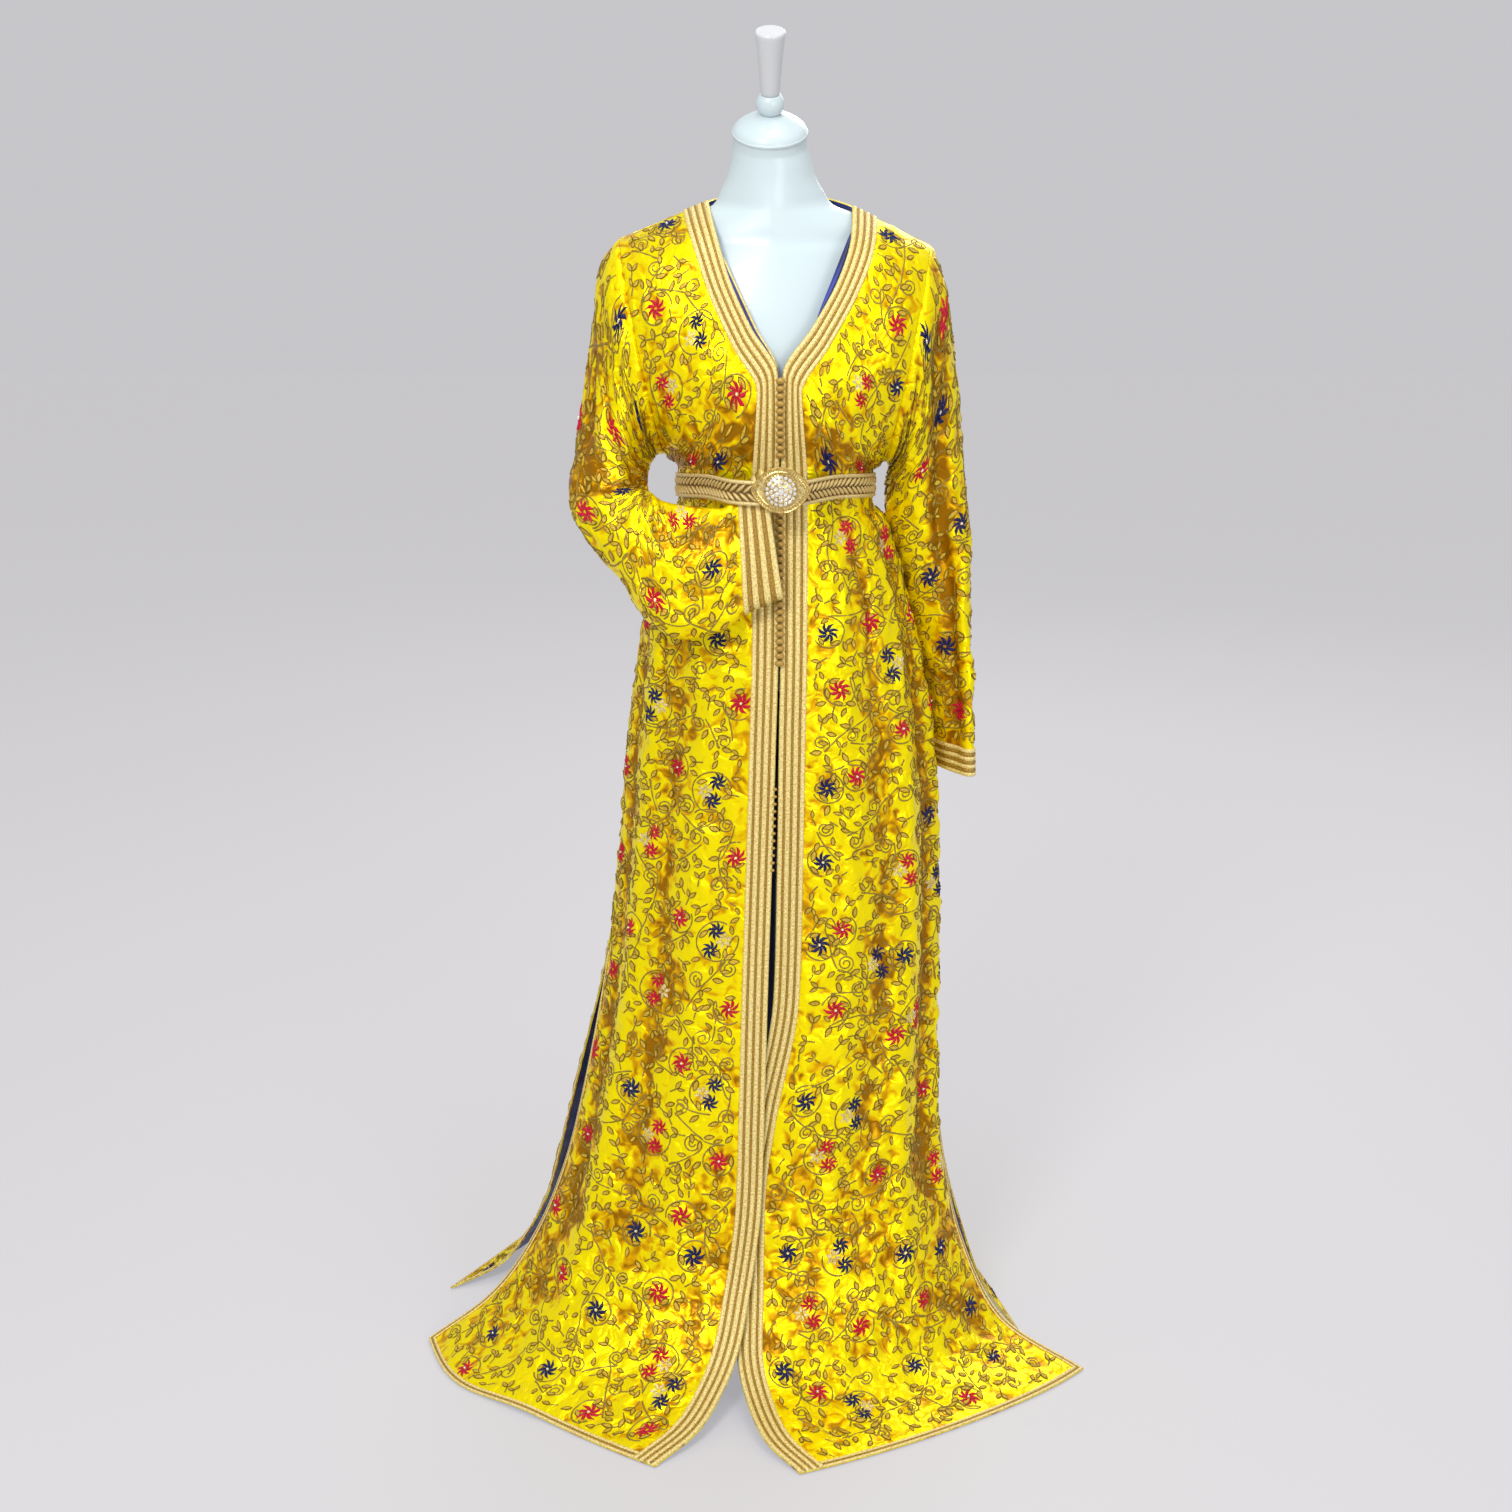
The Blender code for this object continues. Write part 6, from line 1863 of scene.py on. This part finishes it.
# Flowers seen in the photograph: x and z of each in millimetres, its colour, and one or two together
FLOWERS_SEEN = in_metres((0, 1), {
    "right": (
        (-170, 1386, CRIMSON, 2), (-134, 1316, CRIMSON, 1), (-86, 1293, NAVY, 2), (-124, 1220, CRIMSON, 2),
        (-40, 1222, CRIMSON, 1), (-94, 1135, CRIMSON, 1), (-62, 1136, NAVY, 1), (-64, 927, NAVY, 1),
        (-36, 854, CRIMSON, 1), (-113, 765, CRIMSON, 1), (-66, 745, NAVY, 2), (-145, 664, CRIMSON, 2),
        (-42, 661, CRIMSON, 1), (-111, 580, CRIMSON, 1), (-69, 554, NAVY, 2), (-141, 476, CRIMSON, 2),
        (-50, 470, CRIMSON, 1), (-108, 399, CRIMSON, 1), (-175, 351, NAVY, 1), (-73, 365, NAVY, 2),
        (-233, 269, CRIMSON, 1), (-143, 301, CRIMSON, 2), (-65, 279, CRIMSON, 1), (-168, 182, NAVY, 1),
        (-112, 209, CRIMSON, 1), (-95, 160, NAVY, 1), (-265, 111, CRIMSON, 1), (-141, 119, CRIMSON, 1),
        (-219, 88, NAVY, 1), (-72, 96, CRIMSON, 1), (-142, 50, CRIMSON, 2), (-354, 31, NAVY, 1),
        (-385, 11, CRIMSON, 1), (-276, 32, NAVY, 1), (-310, 10, NAVY, 1), (-125, 32, NAVY, 2),
        (-220, 13, CRIMSON, 1), (-150, 12, CRIMSON, 1),
    ),
    "left": (
        (130, 1386, CRIMSON, 2), (91, 1301, NAVY, 1), (150, 1298, CRIMSON, 1), (162, 1264, NAVY, 1),
        (151, 1225, NAVY, 1), (111, 1224, CRIMSON, 2), (109, 1125, CRIMSON, 1), (68, 1137, NAVY, 1),
        (92, 1046, CRIMSON, 2), (119, 941, CRIMSON, 1), (68, 937, NAVY, 1), (146, 890, NAVY, 2),
        (85, 867, CRIMSON, 1), (163, 805, CRIMSON, 1), (104, 759, CRIMSON, 1), (69, 747, NAVY, 1),
        (199, 676, NAVY, 1), (88, 569, CRIMSON, 1), (60, 551, NAVY, 1), (136, 514, NAVY, 2),
        (170, 514, NAVY, 1), (79, 464, CRIMSON, 1), (184, 434, CRIMSON, 2), (156, 415, CRIMSON, 1),
        (195, 324, CRIMSON, 1), (45, 351, NAVY, 1), (108, 327, NAVY, 2), (73, 276, CRIMSON, 2),
        (134, 238, CRIMSON, 1), (23, 161, NAVY, 1), (94, 150, NAVY, 2), (173, 141, NAVY, 1),
        (219, 125, NAVY, 1), (193, 81, CRIMSON, 1), (51, 92, CRIMSON, 2), (115, 72, CRIMSON, 1),
        (259, 50, NAVY, 1), (16, 45, NAVY, 1), (57, 29, CRIMSON, 1), (180, 29, NAVY, 1), (107, 18, NAVY, 2),
        (188, 6, CRIMSON, 1), (284, 14, NAVY, 1), (245, 10, CRIMSON, 1),
    ),
    "back": (),
    "sleeve_right": (
        (-181, 1297, NAVY, 1), (-186, 1170, CRIMSON, 1), (-158, 1187, NAVY, 1), (-176, 1104, NAVY, 1),
        (-221, 1079, CRIMSON, 1), (-106, 1073, CRIMSON, 2), (-70, 1022, NAVY, 1), (-137, 987, CRIMSON, 1),
    ),
    "sleeve_left": (
        (206, 1296, CRIMSON, 1), (183, 1277, NAVY, 1), (208, 1184, NAVY, 1), (184, 1116, CRIMSON, 1),
        (234, 1044, NAVY, 1), (200, 974, NAVY, 1), (240, 801, CRIMSON, 1), (220, 886, NAVY, 1),
    ),
})


# Seed of each panel's embroidery and its share of the tries for a free place
STITCHED = {
    "right": (101, 1.0),
    "left": (103, 1.0),
    "back": (107, 0.9),
    "sleeve_right": (109, 0.75),
    "sleeve_left": (113, 0.75),
}


def panel_limits(key):
    """Where the embroidery ends on a panel: metres down and across, at metres down."""
    cloth = laid[key]
    bottom = cloth.down[-1] - EDGE_BAND_WIDTH
    slit = cloth.down_at_row(SLIT_ROW)

    def limits(v):
        first, last = cloth.edges(v)
        edge = EDGE_BAND_WIDTH if v > slit else 0.001
        if key == "back":
            top = BAND_WIDTH if abs(v) < BAND_WIDTH * 2 else 0.0
            return top, bottom, first + edge, last - edge
        return 0.001, bottom, first + BAND_WIDTH + 0.001, last - edge

    def sleeve_limits(v):
        first, last = cloth.edges(v)
        side = key.split("_")[1]
        cuff = cloth.down_at_row(SLEEVE[side][-1][0] - CUFF_RINGS[side])
        return 0.003, cuff, first + 0.006, last - 0.006

    return sleeve_limits if key.startswith("sleeve") else limits


def embroider(key, seed, flower_gap, rosette_gap, tries):
    cloth = laid[key]
    work = Stitching(cloth, seed, panel_limits(key))
    for x, z, colour, count in FLOWERS_SEEN[key]:
        u, v = cloth.nearest(x, z)
        if work.inside(u, v, 0.010):
            add_flower(work, float(u), float(v), colour, count == 2)

    def any_flower(work, u, v):
        add_flower(work, u, v, work.random.choice((CRIMSON, CRIMSON, NAVY)), work.random.random() < 0.3)

    scatter(work, flower_gap, tries, any_flower)
    scatter(work, rosette_gap, tries * 2, add_rosette)
    join_sites(work, 0.12)
    fill_leaves(work, tries * 5)
    name = node_of(key)
    keep_on(vine_piece("vines_" + name, work, finishes["vine"]))
    kinds, u, v, leans, sizes = [np.array(values) for values in zip(*work.stamps)]
    turns = np.column_stack((0 * u, 0 * u, leans))
    places = np.column_stack((u, v, np.full_like(u, SEAM_GAP)))
    stamps = [
        leaf_stamp("leaf_stamp", finishes["leaf_rim"], finishes["leaf_fill"]),
        flower_stamp("crimson_stamp", finishes["crimson"]),
        flower_stamp("navy_stamp", finishes["navy"]),
        bead_stamp("flower_bead", finishes["bead"], 0.0015, 0.0014),
        leaf_stamp("pale_leaf_stamp", finishes["pale_leaf"], finishes["pale_leaf"]),
    ]
    sewn = stamped("embroidery_" + name, places, stamps, turns, kinds, sizes, smooth=False)
    sew_down(sewn, cloth)
    keep_on(sewn)


def add_stage():
    """Pale floor and soft lights; add_camera sets the camera at the photograph's angle."""
    bpy.ops.mesh.primitive_plane_add(size=16, location=(0, 0, -0.0008))
    floor = bpy.context.object
    floor.name = "studio_floor"
    glow = hex_colour("#FBFAFC")
    floor.data.materials.append(new_material(
        "pale_floor", "#949294", 0.7, Emission_Color=glow, Emission_Strength=0.38))
    world = bpy.data.worlds.new("studio")
    world.use_nodes = True
    world.node_tree.nodes["Background"].inputs["Color"].default_value = hex_colour("#E6E5E9")
    world.node_tree.nodes["Background"].inputs["Strength"].default_value = 0.72
    bpy.context.scene.world = world
    for name, place, aim, size, power in (
            ("key", (-1.1, -2.8, 3.2), (0, 0, 0.8), 0.9, 66.0),
            ("front_fill", (1.6, -3.4, 1.5), (0, 0, 0.6), 1.2, 26.0),
            ("overhead", (0.2, -0.6, 3.4), (0, 0, 0.9), 1.2, 22.0),
            ("rear", (0.8, 2.6, 2.6), (0, 0, 0.9), 1.8, 34.0)):
        light = bpy.data.lights.new(name, "AREA")
        light.size = size
        light.energy = power
        lamp = new_object(name, light)
        lamp.location = place
        lamp.rotation_euler = (Vector(aim) - Vector(place)).to_track_quat("-Z", "Y").to_euler()
    bpy.context.scene.view_settings.view_transform = "Standard"


def add_camera():
    camera = bpy.data.cameras.new("camera")
    camera.sensor_width = 36
    camera.lens = 62.62
    viewer = new_object("camera", camera)
    viewer.location = (-0.0175, -3.2, 1.718)
    viewer.rotation_euler = (math.radians(73), 0, 0)
    bpy.context.scene.camera = viewer


# Threads: dark and light, roughness, metallic, plies a metre, their depth and how strongly they show
THREADS = {
    "cream_cord": ("cord_cream", "#C4A44A", "#F8E69E", 0.45, 0.15, 260.0, 0.0004),
    "bronze_cord": ("cord_bronze", "#6E5210", "#B8902E", 0.45, 0.20, 260.0, 0.0004),
    "knot": ("knot_gold", "#86651E", "#D8B25C", 0.42, 0.25, 130.0, 0.0006, 0.4),
    "vine": ("vine_thread", "#6E580C", "#9E821C", 0.5, 0.15, 200.0, 0.0004),
    "braid": ("braid_gold", "#B59243", "#EDD798", 0.42, 0.2, 150.0, 0.0005, 0.3),
    "braid_ground": ("braid_ground", "#4E3A14", "#7E602A", 0.55, 0.1, 120.0, 0.0005, 0.3),
    "gilt": ("gilt_metal", "#B4963E", "#EED898", 0.27, 0.8, 60.0, 0.0002, 0.3),
}
# Filling stitches: dark and light, roughness and metallic
STITCHES = {
    "leaf_rim": ("leaf_outline", "#5A480C", "#86701A", 0.5, 0.1),
    "leaf_fill": ("leaf_filling", "#A8841C", "#D8B23A", 0.45, 0.15),
    "pale_leaf": ("pale_leaf_gold", "#B0924A", "#EBDCA0", 0.4, 0.3),
    "crimson": ("crimson_thread", "#8C0418", "#D2163A", 0.45),
    "navy": ("navy_thread", "#0B0C2C", "#22265E", 0.45),
}


def mix_finishes(settings):
    finishes["satin"] = satin_finish("satin_yellow", settings)
    finishes["lining"] = lining_finish("lining_navy")
    finishes.update({key: thread_finish(*thread) for key, thread in THREADS.items()})
    finishes.update({key: stitch_finish(*stitch) for key, stitch in STITCHES.items()})
    finishes["bead"] = new_material("pearl_bead", "#EFE9DA", 0.2)
    finishes["stone"] = stone_finish("rhinestone")
    finishes["white_gloss"] = gloss_finish("form_white", "#C4D3D6", 0.38)
    finishes["grey_gloss"] = gloss_finish("form_grey", "#C6C8CA", 0.25)
    finishes["steel"] = steel_finish("stand_steel_brushed")


class KaftanSettings(bpy.types.PropertyGroup):
    """What a maker may change before the kaftan is built."""

    cloth_step: FloatProperty(
        name="Cloth step", description="How far apart the fronts' and sleeves' points lie",
        default=0.0054, min=0.004, max=0.02, subtype="DISTANCE", unit="LENGTH")
    back_step: FloatProperty(
        name="Back step", description="How far apart the back's points lie",
        default=0.0075, min=0.005, max=0.02, subtype="DISTANCE", unit="LENGTH")
    dent_strength: FloatProperty(
        name="Dents", description="How strongly the embroidery puckers the satin",
        default=0.55, min=0.0, max=1.0, subtype="FACTOR")
    flower_gap: FloatProperty(
        name="Flower gap", description="Least distance between flowers the photograph does not place",
        default=0.083, min=0.05, max=0.3, subtype="DISTANCE", unit="LENGTH")
    curl_gap: FloatProperty(
        name="Curl gap", description="Least distance between the vine's curls",
        default=0.038, min=0.025, max=0.2, subtype="DISTANCE", unit="LENGTH")
    tries: IntProperty(
        name="Tries", description="How often each front is tried for a free place",
        default=900, min=0, max=5000)


class KAFTAN_OT_stage(bpy.types.Operator):
    """Set the camera, the lights and the pale floor"""

    bl_idname = "kaftan.stage"
    bl_label = "Set the stage"

    def execute(self, context):
        add_camera()
        add_stage()
        return {"FINISHED"}


class KAFTAN_OT_finishes(bpy.types.Operator):
    """Mix every material"""

    bl_idname = "kaftan.finishes"
    bl_label = "Mix the finishes"

    def execute(self, context):
        mix_finishes(context.scene.kaftan)
        return {"FINISHED"}


class KAFTAN_OT_panels(bpy.types.Operator):
    """Lay the two fronts and the back"""

    bl_idname = "kaftan.panels"
    bl_label = "Lay the fronts and back"

    def execute(self, context):
        need(finishes, "satin")
        lay_fronts(context.scene.kaftan.cloth_step)
        lay_back(context.scene.kaftan.back_step)
        return {"FINISHED"}


class KAFTAN_OT_sleeves(bpy.types.Operator):
    """Lay the sleeves and join them to the armholes"""

    bl_idname = "kaftan.sleeves"
    bl_label = "Lay the sleeves"

    def execute(self, context):
        need(laid, "back")
        lay_sleeves(context.scene.kaftan.cloth_step)
        return {"FINISHED"}


class KAFTAN_OT_form(bpy.types.Operator):
    """Build the dress form and its stand"""

    bl_idname = "kaftan.form"
    bl_label = "Build the form and stand"

    def execute(self, context):
        need(finishes, "white_gloss")
        add_form()
        add_stand()
        return {"FINISHED"}


class KAFTAN_OT_trims(bpy.types.Operator):
    """Sew the corded trims on fronts, neck, cuffs, slits and hem"""

    bl_idname = "kaftan.trims"
    bl_label = "Sew the trims"

    def execute(self, context):
        need(laid, "sleeve_left")
        add_trims()
        return {"FINISHED"}


class KAFTAN_OT_knots(bpy.types.Operator):
    """Set the knotted buttons and the empty loops"""

    bl_idname = "kaftan.knots"
    bl_label = "Set the knots"

    def execute(self, context):
        need(laid, "left")
        add_knots()
        return {"FINISHED"}


class KAFTAN_OT_belt(bpy.types.Operator):
    """Tie the plaited belt and set its plate"""

    bl_idname = "kaftan.belt"
    bl_label = "Tie the belt"

    def execute(self, context):
        need(laid, "back")
        add_belt()
        return {"FINISHED"}


class KAFTAN_OT_embroidery(bpy.types.Operator):
    """Embroider vines, leaves and flowers on every panel"""

    bl_idname = "kaftan.embroidery"
    bl_label = "Embroider the satin"

    def execute(self, context):
        need(laid, "sleeve_left")
        kaftan = context.scene.kaftan
        for key, (seed, share) in STITCHED.items():
            embroider(key, seed, kaftan.flower_gap, kaftan.curl_gap, int(kaftan.tries * share))
        return {"FINISHED"}


class KAFTAN_OT_declare(bpy.types.Operator):
    """Stop unless the back's cloth has been laid"""

    bl_idname = "kaftan.declare"
    bl_label = "Declare the cloth"

    def execute(self, context):
        need(bpy.data.objects, "cloth_back")
        return {"FINISHED"}


OPERATORS = (
    KAFTAN_OT_stage, KAFTAN_OT_finishes, KAFTAN_OT_panels, KAFTAN_OT_sleeves, KAFTAN_OT_form, KAFTAN_OT_trims,
    KAFTAN_OT_knots, KAFTAN_OT_belt, KAFTAN_OT_embroidery, KAFTAN_OT_declare,
)


class KAFTAN_PT_panel(bpy.types.Panel):
    """Sidebar list of the kaftan's settings and steps"""

    bl_idname = "KAFTAN_PT_panel"
    bl_label = "Kaftan"
    bl_space_type = "VIEW_3D"
    bl_region_type = "UI"
    bl_category = "Kaftan"

    def draw(self, context):
        for name in KaftanSettings.__annotations__:
            self.layout.prop(context.scene.kaftan, name)
        for operator in OPERATORS:
            self.layout.operator(operator.bl_idname)


def need(made, name):
    """Stop a step whose forerunner has not been run."""
    if name not in made:
        raise RuntimeError("Nothing is named %s yet: run the steps in the panel's order" % name)


def register():
    for item in (KaftanSettings, *OPERATORS, KAFTAN_PT_panel):
        bpy.utils.register_class(item)
    bpy.types.Scene.kaftan = PointerProperty(type=KaftanSettings)


def unregister():
    del bpy.types.Scene.kaftan
    for item in reversed((KaftanSettings, *OPERATORS, KAFTAN_PT_panel)):
        bpy.utils.unregister_class(item)


# What a new Blender file holds already
STARTUP_OBJECTS = ("Cube", "Camera", "Light")


def main():
    for name in STARTUP_OBJECTS:
        if name in bpy.data.objects:
            bpy.data.objects.remove(bpy.data.objects[name])
    register()
    bpy.ops.kaftan.stage()
    bpy.ops.kaftan.finishes()
    bpy.ops.kaftan.panels()
    bpy.ops.kaftan.sleeves()
    bpy.ops.kaftan.form()
    bpy.ops.kaftan.trims()
    bpy.ops.kaftan.knots()
    bpy.ops.kaftan.belt()
    bpy.ops.kaftan.embroidery()
    bpy.ops.kaftan.declare()


if __name__ == "__main__":
    main()
